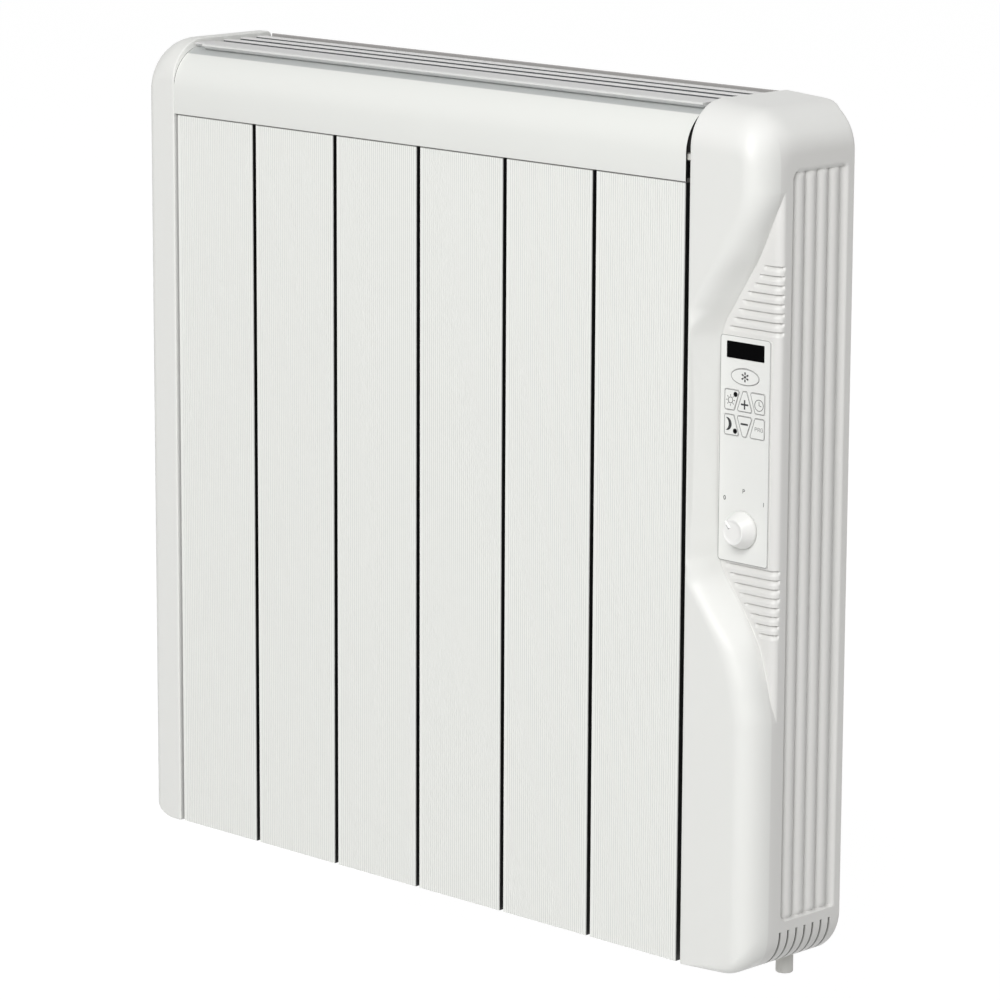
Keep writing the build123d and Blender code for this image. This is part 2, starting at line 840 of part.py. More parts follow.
def key_outlines(grow=0.0):
    """Outline of every key in (X, Z), by name, grown on all sides."""
    left = legend_x - key_field_width / 2
    right = legend_x + key_field_width / 2
    upper = fascia_z + upper_row_lift
    lower = fascia_z + lower_row_lift
    wide, slim = key_outer_long, key_outer_short
    half_wide, half_slim = key_middle_long / 2, key_middle_short / 2
    outlines = {
        "key_comfort": trapezoid(left, left + slim, left, left + wide, upper),
        "key_economy": trapezoid(left, left + wide, left, left + slim, lower),
        "key_plus": trapezoid(legend_x - half_wide, legend_x + half_wide, legend_x - half_slim,
                              legend_x + half_slim, upper),
        "key_minus": trapezoid(legend_x - half_slim, legend_x + half_slim, legend_x - half_wide,
                               legend_x + half_wide, lower),
        "key_clock": trapezoid(right - slim, right, right - wide, right, upper),
        "key_program": trapezoid(right - wide, right, right - slim, right, lower),
    }
    if grow:
        outlines = {name: offset(face, amount=grow) for name, face in outlines.items()}
    oval = Ellipse(frost_width / 2 + grow, frost_height / 2 + grow)
    outlines["key_frost"] = Pos(legend_x, fascia_z + frost_lift) * oval
    return outlines


def key_middles():
    """Where each key presses its switch, in (X, Z), by name."""
    left = legend_x - key_field_width / 2
    right = legend_x + key_field_width / 2
    upper = fascia_z + upper_row_lift
    lower = fascia_z + lower_row_lift
    inset = key_outer_short / 2
    return {
        "key_frost": (legend_x, fascia_z + frost_lift),
        "key_comfort": (left + inset, upper),
        "key_economy": (left + inset, lower),
        "key_plus": (legend_x, upper),
        "key_minus": (legend_x, lower),
        "key_clock": (right - inset, upper),
        "key_program": (right - inset, lower),
    }


def lamp_places():
    """Middles of the two signal lamps, in (X, Z)."""
    x = legend_x - key_field_width / 2 + lamp_inset_x
    upper = fascia_z + upper_row_lift + key_height / 2 - lamp_inset_z
    lower = fascia_z + lower_row_lift - key_height / 2 + lamp_inset_z
    return {"comfort_lamp": (x, upper), "economy_lamp": (x, lower)}


def lamp_bores(y0, y1):
    """Holes that let the lamps pass through the keys beside them."""
    return [rod_y(lamp_radius + moving_clearance, x, y0, y1, z) for x, z in lamp_places().values()]


def control_fascia():
    """Thin plate on the recess floor, with openings for the window, the keys and the shaft."""
    mid = Pos(legend_x, fascia_z)
    face = mid * RectangleRounded(fascia_width, fascia_height, fascia_corner)
    face -= Pos(legend_x, fascia_z + window_lift) * RectangleRounded(window_width, window_height, window_corner)
    for opening in key_outlines(moving_clearance).values():
        face -= opening
    face -= Pos(legend_x, knob_z) * Circle(shaft_hole_radius)
    return along_y(face, fascia_y, floor_y)


def key(name):
    """One key: cap in the fascia, flange behind it and a stem over its switch."""
    face = key_outlines()[name]
    x, z = key_middles()[name]
    flange_y = floor_y + moving_clearance
    flange_back = flange_y + key_flange_thickness
    stem_end = board_y - tact_height - key_travel - key_gap
    body = along_y(face, fascia_y - key_proud, flange_y)
    body += along_y(key_outlines(key_flange)[name], flange_y, flange_back)
    body += block(x - key_stem / 2, x + key_stem / 2, flange_back, stem_end, z - key_stem / 2, z + key_stem / 2)
    for bore in lamp_bores(fascia_y - overrun, board_y):
        body -= bore
    return body


def display_window():
    """Dark lens over the display."""
    face = RectangleRounded(window_width - moving_clearance, window_height - moving_clearance, window_corner)
    return along_y(Pos(legend_x, fascia_z + window_lift) * face, fascia_y, fascia_y + window_thickness)


def display_module():
    """Digit module between the lens and the board."""
    mid = fascia_z + window_lift
    return block(legend_x - display_width / 2, legend_x + display_width / 2, fascia_y + window_thickness, board_y,
                 mid - display_height / 2, mid + display_height / 2)


def lamp(name):
    """Light pipe of a signal lamp, from the board to just above the key."""
    x, z = lamp_places()[name]
    return rod_y(lamp_radius, x, fascia_y - key_proud * 2, board_y, z)


def board_posts():
    """Middles of the four posts that carry the control board, in (X, Z)."""
    half = board_width / 2 - board_post_inset
    return [(legend_x + side * half, fascia_z + z)
            for side in (-1, 1) for z in (board_low + board_post_inset, board_high - board_post_inset)]


def control_board():
    """Printed board behind the fascia."""
    half = board_width / 2
    return block(legend_x - half, legend_x + half, board_y, board_y + board_thickness,
                 fascia_z + board_low, fascia_z + board_high)


def key_switches():
    """Push switches on the board, one under each key."""
    half = tact_size / 2
    return [block(x - half, x + half, board_y - tact_height, board_y, z - half, z + half)
            for x, z in key_middles().values()]


def selector_switch():
    """Rotary switch behind the recess floor."""
    y0 = floor_y + wall
    body = rod_y(switch_radius, legend_x, y0, y0 + switch_depth, knob_z)
    hole_end = fascia_y - knob_height + shaft_tail + shaft_length + shaft_tail
    return body - rod_y(shaft_radius + shaft_running_clearance, legend_x, y0 - overrun, hole_end, knob_z)


def selector_shaft():
    """Shaft from the rotary switch into the knob."""
    y0 = fascia_y - knob_height + shaft_tail
    return rod_y(shaft_radius, legend_x, y0, y0 + shaft_length, knob_z)


def selector_knob():
    """Tapered knob with a raised pointer on its face."""
    back = fascia_y - moving_clearance
    skirt = back - knob_skirt
    front = fascia_y - knob_height
    profile = Polyline((0, front), (knob_front_radius - knob_edge, front), (knob_front_radius, front + knob_edge),
                       (knob_radius, skirt), (knob_radius, back), (0, back), close=True)
    body = revolve(make_face(profile), Axis.Y)
    body = Pos(legend_x, 0, knob_z) * body
    bar = block(pointer_start, knob_front_radius - knob_edge, front - pointer_height, front + knob_edge,
                -pointer_width / 2, pointer_width / 2)
    body += Pos(legend_x, 0, knob_z) * Rot(0, -pointer_angle, 0) * bar
    socket_y = front + shaft_tail
    return body - rod_y(shaft_radius + seat_clearance, legend_x, socket_y, back + overrun, knob_z)


def power_board():
    """Power board on standoffs beside the right side frame."""
    x0 = frame_right_outer_x + power_board_gap
    y = front_y + power_board_depth
    z = foot_z + power_board_lift
    half_y, half_z = power_board_width / 2, power_board_height / 2
    body = block(x0, x0 + board_thickness, y - half_y, y + half_y, z - half_z, z + half_z)
    for side_y in (-1, 1):
        for side_z in (-1, 1):
            body += rod_x(standoff_radius, frame_right_outer_x, x0, y + side_y * (half_y - standoff_inset),
                          z + side_z * (half_z - standoff_inset))
    return body


def board_component(size, side):
    """A box on the power board, above or below its middle."""
    x0 = frame_right_outer_x + power_board_gap + board_thickness
    y = front_y + power_board_depth
    z = foot_z + power_board_lift + side * component_spread
    deep, wide, tall = size
    return block(x0, x0 + deep, y - wide / 2, y + wide / 2, z - tall / 2, z + tall / 2)


def terminal_block():
    """Mains terminal block on the right side frame."""
    deep, wide, tall = terminal_block_size
    x0 = frame_right_outer_x
    y = front_y + power_board_depth
    z = foot_z + terminal_block_lift
    body = block(x0, x0 + deep, y - wide / 2, y + wide / 2, z - tall / 2, z + tall / 2)
    pitch = wide / terminal_count
    for index in range(terminal_count):
        hole_y = y - wide / 2 + pitch * (index + 1 / 2)
        body -= rod_x(terminal_hole, x0 + deep / 2, x0 + deep + overrun, hole_y, z)
    return body


def cable_gland():
    """Sleeve of the mains cable gland through the cap's floor."""
    z0 = foot_z - gland_drop
    body = rod_z(gland_radius, gland_x, gland_y, z0 + gland_taper, z0 + gland_length)
    body += rod_z(gland_radius - gland_taper, gland_x, gland_y, z0, z0 + gland_taper)
    return body - rod_z(gland_bore, gland_x, gland_y, z0 - overrun, z0 + gland_length + overrun)


def gland_nut():
    """Hexagon nut that holds the gland from inside."""
    z0 = foot_z + gland_boss_height
    body = extrude(Plane.XY.offset(z0) * (Pos(gland_x, gland_y) * RegularPolygon(nut_radius, nut_sides)),
                   amount=nut_height)
    return body - rod_z(gland_radius + seat_clearance, gland_x, gland_y, z0 - overrun, z0 + nut_height + overrun)


def cord_clamp():
    """Clamp on the side frame that relieves the supply lead inside."""
    x0 = frame_right_outer_x
    z0 = foot_z + clamp_lift
    body = block(x0, x0 + clamp_depth, gland_y - clamp_width / 2, gland_y + clamp_width / 2, z0, z0 + clamp_height)
    return body - rod_z(gland_bore, x0 + clamp_depth / 2, gland_y, z0 - overrun, z0 + clamp_height + overrun)


def wiring_harness():
    """Lead bundle under the heater terminals, up to the terminal block."""
    y = front_y + tube_depth
    z = rod_start_z - terminal_length - harness_radius
    rise_x = frame_right_outer_x + harness_rise
    block_x = frame_right_outer_x + terminal_block_size[0]
    block_z = foot_z + terminal_block_lift
    path = FilletPolyline((left_x + harness_left, y, z), (rise_x, y, z), (rise_x, y, block_z), (block_x, y, block_z),
                          radius=harness_bend)
    start = Plane(origin=(left_x + harness_left, y, z), z_dir=(1, 0, 0))
    return sweep(start * Circle(harness_radius), path=path)


def harness_hole():
    """Where the harness passes the right side frame."""
    z = rod_start_z - terminal_length - harness_radius
    return rod_x(harness_hole_radius, rail_right_x - overrun, frame_right_outer_x + overrun, front_y + tube_depth, z)


def room_sensor():
    """Air temperature probe on the right side frame, above the air slots."""
    return rod_x(sensor_radius, frame_right_outer_x, frame_right_outer_x + sensor_length, front_y + sensor_depth,
                 foot_z + sensor_height)


def thermal_cutout():
    """Safety cutout on the rear plate of the last element."""
    x = element_mid_x(element_count - 1)
    return rod_y(cutout_radius, x, rear_y, rear_y + cutout_height, rail_offset - cutout_drop)


def wall_bracket(side):
    """Steel strip on the wall with two hooks that carry the rails."""
    x = side * bolt_spacing_x / 2
    x0, x1 = x - bracket_width / 2, x + bracket_width / 2
    reach = bolt_spacing_z / 2 + bracket_end
    body = block(x0, x1, -bracket_sheet, 0, -reach, reach)
    for level in (-1, 1):
        hook_top = level * rail_offset + rail_half_height - rail_thickness
        arm = level * rail_offset - tongue_drop
        tongue_y = rear_y + rail_thickness + tongue_gap
        body += block(x0, x1, tongue_y, -bracket_sheet, arm, arm + bracket_sheet)
        body += block(x0, x1, tongue_y, tongue_y + bracket_sheet, arm, hook_top)
        body -= rod_y(bolt_hole_radius, x, -bracket_sheet - overrun, overrun, level * bolt_spacing_z / 2)
    return body


def save(name, shape):
    """Write one sub-part, or a group of separate solids."""
    if isinstance(shape, list):
        shape = Compound(children=shape)
    export_step(shape, os.path.join("parts", name + ".step"))


def main():
    """Build every sub-part."""
    os.makedirs("parts", exist_ok=True)
    for index in range(element_count):
        save(f"element_{index + 1}", element(index))
        save(f"heater_rod_{index + 1}", heater_rod(index))
    save("lower_rail", rail(-1))
    save("upper_rail", rail(1))
    save("rail_screws", rail_screws())
    save("left_side_frame", side_frame(frame_left_outer_x))
    save("right_side_frame", side_frame(rail_right_x) - harness_hole())
    save("frame_screws", frame_screws())
    save("left_end_cap", left_end_cap())
    save("left_cap_screws", cap_screws(rail_left_x, -1))
    save("right_end_cap", right_end_cap())
    save("right_cap_screws", cap_screws(rail_right_x, 1))
    save("top_hood", top_hood())
    save("hood_clips", hood_clips())
    save("grille_lip", grille_lip())
    for index, place in enumerate(blade_places):
        save(f"grille_blade_{index + 1}", grille_blade(place))
    save("grille_back_rail", grille_back_rail())
    save("grille_supports", grille_supports())
    save("control_fascia", control_fascia())
    save("display_window", display_window())
    save("display_module", display_module())
    for name in key_outlines():
        save(name, key(name))
    for name in lamp_places():
        save(name, lamp(name))
    save("control_board", control_board())
    save("key_switches", key_switches())
    save("selector_switch", selector_switch())
    save("selector_shaft", selector_shaft())
    save("selector_knob", selector_knob())
    save("power_board", power_board())
    save("power_relay", board_component(relay_size, 1))
    save("transformer", board_component(transformer_size, -1))
    save("terminal_block", terminal_block())
    save("cable_gland", cable_gland())
    save("gland_nut", gland_nut())
    save("cord_clamp", cord_clamp())
    save("wiring_harness", wiring_harness())
    save("room_sensor", room_sensor())
    save("thermal_cutout", thermal_cutout())
    save("wall_bracket_left", wall_bracket(-1))
    save("wall_bracket_right", wall_bracket(1))


main()
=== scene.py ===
"""Looks of a wall-hung electric radiator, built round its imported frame.

Sizes are in millimetres in the frame's axes: +X to the right seen from the front, +Y into the wall, +Z up.
Every mesh is worked out in those millimetres as whole numpy arrays and put into Blender in metres.
"""

import json
import logging
from collections.abc import Sequence
from dataclasses import dataclass
from enum import Enum
from typing import ClassVar

import bmesh
import bpy
import numpy as np
from mathutils import Matrix

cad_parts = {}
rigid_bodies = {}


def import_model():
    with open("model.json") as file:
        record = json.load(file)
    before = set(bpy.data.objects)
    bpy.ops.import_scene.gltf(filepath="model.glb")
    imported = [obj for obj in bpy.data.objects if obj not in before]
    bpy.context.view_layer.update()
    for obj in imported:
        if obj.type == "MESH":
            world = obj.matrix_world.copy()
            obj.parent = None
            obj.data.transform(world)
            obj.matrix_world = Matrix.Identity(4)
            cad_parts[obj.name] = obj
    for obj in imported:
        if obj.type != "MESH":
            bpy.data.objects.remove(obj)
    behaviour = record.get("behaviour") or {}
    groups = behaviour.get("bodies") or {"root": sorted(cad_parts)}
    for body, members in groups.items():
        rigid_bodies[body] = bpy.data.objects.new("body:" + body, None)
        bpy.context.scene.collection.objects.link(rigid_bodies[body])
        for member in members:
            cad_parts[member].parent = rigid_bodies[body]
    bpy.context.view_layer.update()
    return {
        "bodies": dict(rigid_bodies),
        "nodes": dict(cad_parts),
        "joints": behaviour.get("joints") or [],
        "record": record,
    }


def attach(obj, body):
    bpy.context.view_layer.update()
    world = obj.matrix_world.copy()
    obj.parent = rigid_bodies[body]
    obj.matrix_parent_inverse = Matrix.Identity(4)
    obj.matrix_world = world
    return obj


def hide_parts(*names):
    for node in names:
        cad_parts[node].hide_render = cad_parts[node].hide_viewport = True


LOG = logging.getLogger("radiator")
MM = 0.001
WELD = 1e-3
TINY = 1e-9
LEAST = 1e-3
HAIR = 1e-6
CRISP_ANGLE = 40.0
PRINT_DEPTH = 0.05

Grid = np.ndarray
Colour = tuple[float, float, float]
Socket = bpy.types.NodeSocket
Node = bpy.types.Node
Piece = bpy.types.Object


# ---------------------------------------------------------------- mesh arrays


def quarter_round(across: Grid, power: float = 2.0) -> Grid:
    """Share of the depth that a quarter superellipse has drawn in: 0 at its start, 1 at its steep end."""
    share = np.clip(across, 0.0, 1.0)
    return 1.0 - np.clip(1.0 - share ** power, 0.0, 1.0) ** (1.0 / power)


def smooth_step(value: Grid, start: float, end: float) -> Grid:
    """0 before start, 1 after end, and three squares minus two cubes of the share between."""
    share = np.clip((value - start) / (end - start), 0.0, 1.0)
    return share * share * (3.0 - 2.0 * share)


def between(pair: tuple[float, float], share: Grid) -> Grid:
    """The place at a share of the way from the first value to the second."""
    return pair[0] + (pair[1] - pair[0]) * share


def turn_spacing(count: int) -> Grid:
    """Stations from 1 to 0 that crowd towards 0, as one minus the sine of even angles."""
    return 1.0 - np.sin(np.linspace(0.0, np.pi / 2, count))


class MeshMaker:
    """Gathers grids and single faces in millimetres and welds them into one mesh."""

    def __init__(self) -> None:
        """Starts with nothing gathered."""
        self.points: list[Grid] = []
        self.quads: list[Grid] = []
        self.rings: list[tuple[Grid, int]] = []
        self.count = 0

    def take(self, points: Grid) -> int:
        """Keeps points and returns the number of the first."""
        first = self.count
        self.points.append(points.reshape(-1, 3))
        self.count += self.points[-1].shape[0]
        return first

    def sheet(self, points: Grid) -> None:
        """Adds a grid of (rows, columns, 3), one quad between each four neighbours."""
        rows, columns = points.shape[:2]
        number = np.arange(rows * columns).reshape(rows, columns) + self.take(points)
        corners = [number[:-1, :-1], number[1:, :-1], number[1:, 1:], number[:-1, 1:]]
        self.quads.append(np.stack(corners, -1).reshape(-1, 4))

    def face(self, points: Grid, slot: int = 0) -> None:
        """Adds one many-sided face by its corners in order, with the material slot that it takes."""
        self.rings.append((np.arange(points.shape[0]) + self.take(points), slot))

    def build(self, name: str, sharp: float = CRISP_ANGLE, weld: bool = True) -> Piece:
        """Makes the object from what was gathered.

        Args:
            name: The object's name.
            sharp: Edges that turn by more degrees than this stay crisp.
            weld: Whether points that lie together become one.

        Returns:
            The linked object, at the origin, with its faces outwards.
        """
        points = np.concatenate(self.points)
        number = np.arange(points.shape[0])
        if weld:
            cells = np.round(points / WELD).astype(np.int64)
            _, first, number = np.unique(cells, axis=0, return_index=True, return_inverse=True)
            points, number = points[first], number.reshape(-1)
        faces: list[list[int]] = []
        if self.quads:
            quads = number[np.concatenate(self.quads)]
            same = quads == np.roll(quads, -1, axis=1)
            whole = ~same.any(1) & (quads[:, 0] != quads[:, 2]) & (quads[:, 1] != quads[:, 3])
            once = same.sum(1) == 1
            faces += quads[whole].tolist() + quads[once][~same[once]].reshape(-1, 3).tolist()
        slots = [0] * len(faces)
        for ring, slot in self.rings:
            numbers = number[ring]
            faces.append(numbers[numbers != np.roll(numbers, 1)].tolist())
            slots.append(slot)
        mesh = bpy.data.meshes.new(name)
        mesh.from_pydata((points * MM).tolist(), [], faces)
        mesh.polygons.foreach_set("material_index", np.array(slots, np.int32))
        work = bmesh.new()
        work.from_mesh(mesh)
        bmesh.ops.recalc_face_normals(work, faces=work.faces)
        work.to_mesh(mesh)
        work.free()
        smooth_mesh(mesh, sharp)
        mesh.update()
        made = bpy.data.objects.new(name, mesh)
        bpy.context.scene.collection.objects.link(made)
        return made


def smooth_mesh(mesh: bpy.types.Mesh, sharp: float = CRISP_ANGLE) -> None:
    """Shades a mesh smoothly, apart from edges that turn by more than so many degrees."""
    mesh.polygons.foreach_set("use_smooth", np.ones(len(mesh.polygons), bool))
    mesh.set_sharp_from_angle(angle=np.radians(sharp))


def rounded_path(corners: Sequence[tuple[float, float, float]], steps: int = 6) -> Grid:
    """Closed outline with round corners.

    Args:
        corners: Each corner's two places and its radius.
        steps: Segments in each arc.

    Returns:
        Array of (points, 2).
    """
    given = np.array(corners, float)
    place, radius = given[:, :2], given[:, 2]
    before = np.roll(place, 1, axis=0) - place
    after = np.roll(place, -1, axis=0) - place
    before /= np.linalg.norm(before, axis=1)[:, None]
    after /= np.linalg.norm(after, axis=1)[:, None]
    half = np.maximum(np.arccos(np.clip((before * after).sum(1), -1.0, 1.0)) / 2.0, LEAST)
    reach = (radius / np.tan(half))[:, None]
    start, end = place + before * reach, place + after * reach
    middle = before + after
    middle /= np.maximum(np.linalg.norm(middle, axis=1), TINY)[:, None]
    centre = (place + middle * (radius / np.sin(half))[:, None])[:, None]
    share = np.linspace(0.0, 1.0, steps + 1)[None, :, None]
    swing = (start[:, None] - centre) * (1.0 - share) + (end[:, None] - centre) * share
    length = np.linalg.norm(swing, axis=2, keepdims=True)
    return (centre + swing / np.maximum(length, TINY) * radius[:, None, None]).reshape(-1, 2)


def circle_points(x: float, z: float, radius: float, count: int = 32, start: float = 0.0, sweep: float = 360.0,
                  tall: float | None = None) -> Grid:
    """Points on a circle in (X, Z), anticlockwise seen from the front.

    Args:
        x: Its middle's X.
        z: Its middle's Z.
        radius: Its radius.
        count: Number of points.
        start: First angle in degrees, from +X.
        sweep: Degrees that it goes on from there.
        tall: Half of its height, for an oval.

    Returns:
        Array of (points, 2).
    """
    turn = np.radians(start + np.linspace(0.0, sweep, count, endpoint=sweep < 360.0))
    return np.stack([x + radius * np.cos(turn), z + (radius if tall is None else tall) * np.sin(turn)], -1)


def prism(maker: MeshMaker, outline: Grid, axis: int, start: float, end: float) -> None:
    """Carries a closed outline in the two other axes along one axis and closes both ends.

    Args:
        maker: Takes the faces.
        outline: Array of (points, 2).
        axis: 0 for X, 1 for Y.
        start: Where it starts on that axis.
        end: Where it ends.
    """
    ring = np.concatenate([outline, outline[:1]])
    grid = np.empty((2, ring.shape[0], 3))
    grid[..., axis] = np.array([start, end])[:, None]
    grid[..., [place for place in range(3) if place != axis]] = ring[None]
    maker.sheet(grid)
    for end_ring in grid:
        maker.face(end_ring[:-1])


def ribbon(maker: MeshMaker, path: Grid, width: float, face_y: float, closed: bool = False,
           depth: float = PRINT_DEPTH) -> None:
    """Prints a line on a face that looks towards -Y, with mitred corners.

    Args:
        maker: Takes the faces.
        path: Array of (points, 2) in (X, Z).
        width: Width of the line.
        face_y: Y of the face.
        closed: Whether the line ends where it starts.
        depth: How far the print stands out.
    """
    line = np.concatenate([path, path[:1]]) if closed else path
    step = np.diff(line, axis=0)
    step /= np.maximum(np.linalg.norm(step, axis=1), TINY)[:, None]
    normal = np.stack([-step[:, 1], step[:, 0]], -1)
    first, last = normal[:1] * 2.0, normal[-1:] * 2.0
    if closed:
        first = last = normal[:1] + normal[-1:]
    side = np.concatenate([first, normal[1:] + normal[:-1], last])
    least_mitre = 0.3
    side /= np.maximum((side * side).sum(1) / 2.0, least_mitre)[:, None]
    offset = np.array([-0.5, 0.5, 0.5, -0.5, -0.5])[None, :, None] * side[:, None] * width
    grid = np.empty((line.shape[0], 5, 3))
    grid[..., 0::2] = line[:, None] + offset
    grid[..., 1] = face_y - depth + np.array([0.0, 0.0, 1.0, 1.0, 0.0])[None] * depth
    maker.sheet(grid)
    if not closed:
        maker.face(grid[0, :-1])
        maker.face(grid[-1, :-1])


# ---------------------------------------------------------------- shader effects


class Effect(Enum):
    """Shader groups that several finishes share."""

    GRAIN = "moulding_grain"
    DRIFT = "tone_drift"
    BAND = "band_mask"
    FLECK = "metal_fleck"


class Net:
    """Adds nodes to a tree and joins them."""

    def __init__(self, tree: bpy.types.NodeTree) -> None:
        """Keeps the tree."""
        self.tree = tree

    def node(self, kind: str, values: dict[str | int, object] | None = None, **settings: object) -> Node:
        """Adds a node.

        Args:
            kind: The node's Blender type.
            values: For its inputs, by name or number: a socket to join or a plain value.
            **settings: Its own properties.

        Returns:
            The new node.
        """
        made = self.tree.nodes.new(kind)
        for name, value in settings.items():
            setattr(made, name, value)
        self.fill(made, values or {})
        return made

    def fill(self, node: Node, values: dict[str | int, object]) -> None:
        """Joins sockets to a node's inputs, or sets them to plain values."""
        for name, item in values.items():
            if isinstance(item, Socket):
                self.tree.links.new(item, node.inputs[name])
            else:
                node.inputs[name].default_value = item

    def sums(self, operation: str, *items: object) -> Socket:
        """Result of a Math node whose inputs are sockets or numbers."""
        return self.node("ShaderNodeMath", dict(enumerate(items)), operation=operation).outputs[0]

    def shared(self, kind: Effect, **values: object) -> Node:
        """Adds a shared effect; an underline in an input's name stands for a space."""
        given = {name.replace("_", " "): value for name, value in values.items()}
        return self.node("ShaderNodeGroup", given, node_tree=effect(kind))

    def band(self, value: Socket, start: float, end: float, soft: float) -> Socket:
        """Mask of the band effect."""
        return self.shared(Effect.BAND, Value=value, Start=start, End=end, Soft=soft).outputs["Mask"]

    def blend(self, mask: object, under: object, over: object, **settings: object) -> Socket:
        """Colour that goes from one to another with a mask."""
        under_place, over_place, result = 6, 7, 2
        values = {0: mask, under_place: under, over_place: over}
        return self.node("ShaderNodeMix", values, data_type="RGBA", **settings).outputs[result]

    def noise(self, place: Socket, scale: Socket, detail: float) -> Socket:
        """Noise in three dimensions."""
        values = {"Vector": place, "Scale": scale, "Detail": detail}
        return self.node("ShaderNodeTexNoise", values, noise_dimensions="3D").outputs[0]


def effect(kind: Effect) -> bpy.types.NodeTree:
    """The shader group of one effect, built at its first use."""
    built = bpy.data.node_groups.get(kind.value)
    if built is None:
        inputs, outputs, fill = EFFECTS[kind]
        built = bpy.data.node_groups.new(kind.value, "ShaderNodeTree")
        for name, value in inputs.items():
            made = built.interface.new_socket(name=name, in_out="INPUT", socket_type=SOCKET_KINDS[type(value)])
            if value is not None:
                made.default_value = value
        for name in outputs:
            colour = "NodeSocketColor" if name == "Color" else "NodeSocketFloat"
            built.interface.new_socket(name=name, in_out="OUTPUT", socket_type=colour)
        net = Net(built)
        given, shown = net.node("NodeGroupInput"), net.node("NodeGroupOutput")
        net.fill(shown, fill(net, given.outputs))
    return built


def fill_grain(net: Net, given: bpy.types.NodeOutputs) -> dict[str, Socket]:
    """Fine uneven surface: a height and a roughness that wander over the surface."""
    fine = net.noise(given["Vector"], given["Grain"], 2.0)
    wave = net.noise(given["Vector"], given["Wave"], 3.0)
    wander = net.sums("SUBTRACT", wave, 0.5)
    return {"Height": net.sums("MULTIPLY_ADD", wave, 0.6, fine),
            "Roughness": net.sums("MULTIPLY_ADD", wander, given["Spread"], given["Roughness"])}


def fill_drift(net: Net, given: bpy.types.NodeOutputs) -> dict[str, Socket]:
    """Slow change between two near tones, as on a coat or a moulding."""
    noise = net.noise(given["Vector"], given["Scale"], 4.0)
    return {"Color": net.blend(noise, given["Tone"], given["Second tone"])}


def fill_band(net: Net, given: bpy.types.NodeOutputs) -> dict[str, Socket]:
    """Mask that is 1 between two places of one value, with soft sides."""
    past = net.sums("SUBTRACT", given["Value"], given["Start"])
    left = net.sums("SUBTRACT", given["End"], given["Value"])
    near = net.sums("MINIMUM", past, left)
    share = net.node("ShaderNodeMath", {0: near, 1: given["Soft"]}, operation="DIVIDE", use_clamp=True)
    return {"Mask": share.outputs[0]}


def fill_fleck(net: Net, given: bpy.types.NodeOutputs) -> dict[str, Socket]:
    """Patchy bright and dull flakes of zinc or drawn steel, as a mask."""
    cell = net.node("ShaderNodeTexVoronoi", {"Vector": given["Vector"], "Scale": given["Scale"]}, feature="F1")
    return {"Mask": net.node("ShaderNodeRGBToBW", {0: cell.outputs["Color"]}).outputs[0]}


PALE = (0.8, 0.8, 0.8, 1.0)
SOCKET_KINDS = {type(None): "NodeSocketVector", tuple: "NodeSocketColor", float: "NodeSocketFloat"}
EFFECTS = {
    Effect.GRAIN: ({"Vector": None, "Grain": 900.0, "Wave": 60.0, "Roughness": 0.45, "Spread": 0.08},
                   ("Height", "Roughness"), fill_grain),
    Effect.DRIFT: ({"Vector": None, "Tone": PALE, "Second tone": PALE, "Scale": 12.0}, ("Color",), fill_drift),
    Effect.BAND: ({"Value": 0.0, "Start": 0.0, "End": 1.0, "Soft": 0.001}, ("Mask",), fill_band),
    Effect.FLECK: ({"Vector": None, "Scale": 260.0}, ("Mask",), fill_fleck),
}


# ---------------------------------------------------------------- finishes


@dataclass(frozen=True)
class Finish:
    """A surface with a slowly drifting tone and a fine grain."""

    name: str
    tone: Colour
    second_tone: Colour
    roughness: float = 0.45
    spread: float = 0.10
    grain: float = 1200.0
    wave: float = 90.0
    drift: float = 9.0
    bump: float = 0.12
    bump_depth: float = 0.00008
    metallic: float = 0.0
    specular: float = 0.5
    coat: float = 0.0
    fleck: float = 0.0
    coat_roughness: ClassVar[float] = 0.1
    fleck_share: ClassVar[float] = 0.35

    def material(self) -> bpy.types.Material:
        """The finish as a Blender material, made at its first use."""
        title = f"{self.name}_finish"
        known = bpy.data.materials.get(title)
        if known is not None:
            return known
        made = bpy.data.materials.new(title)
        made.use_nodes = True
        net = Net(made.node_tree)
        place = net.node("ShaderNodeTexCoord").outputs["Object"]
        drift = net.shared(Effect.DRIFT, Vector=place, Tone=(*self.tone, 1.0), Second_tone=(*self.second_tone, 1.0),
                           Scale=self.drift)
        grain = net.shared(Effect.GRAIN, Vector=place, Grain=self.grain, Wave=self.wave, Roughness=self.roughness,
                           Spread=self.spread)
        bump = net.node("ShaderNodeBump", {"Strength": self.bump, "Distance": self.bump_depth,
                                           "Height": grain.outputs["Height"]})
        net.fill(made.node_tree.nodes["Principled BSDF"], {
            "Base Color": self.dress(net, place, drift.outputs["Color"]),
            "Roughness": grain.outputs["Roughness"],
            "Normal": bump.outputs[0],
            "Metallic": self.metallic,
            "Specular IOR Level": self.specular,
            "Coat Weight": self.coat,
            "Coat Roughness": self.coat_roughness,
        })
        return made

    def dress(self, net: Net, place: Socket, colour: Socket) -> Socket:
        """Adds what lies over the drifting tone; here flecks, where the finish has them."""
        if not self.fleck:
            return colour
        fleck = net.shared(Effect.FLECK, Vector=place, Scale=self.fleck).outputs["Mask"]
        shade = net.node("ShaderNodeCombineColor", {channel: fleck for channel in range(3)})
        return net.blend(self.fleck_share, colour, shade.outputs[0], blend_type="MULTIPLY")


@dataclass(frozen=True)
class Shade:
    """A band of painted shade, and of painted light where its tone is the lighter one: a tone between two places of one
    axis, with how far it takes to reach full strength.
    """

    axis: str
    start: float
    end: float
    soft: float
    tone: Colour


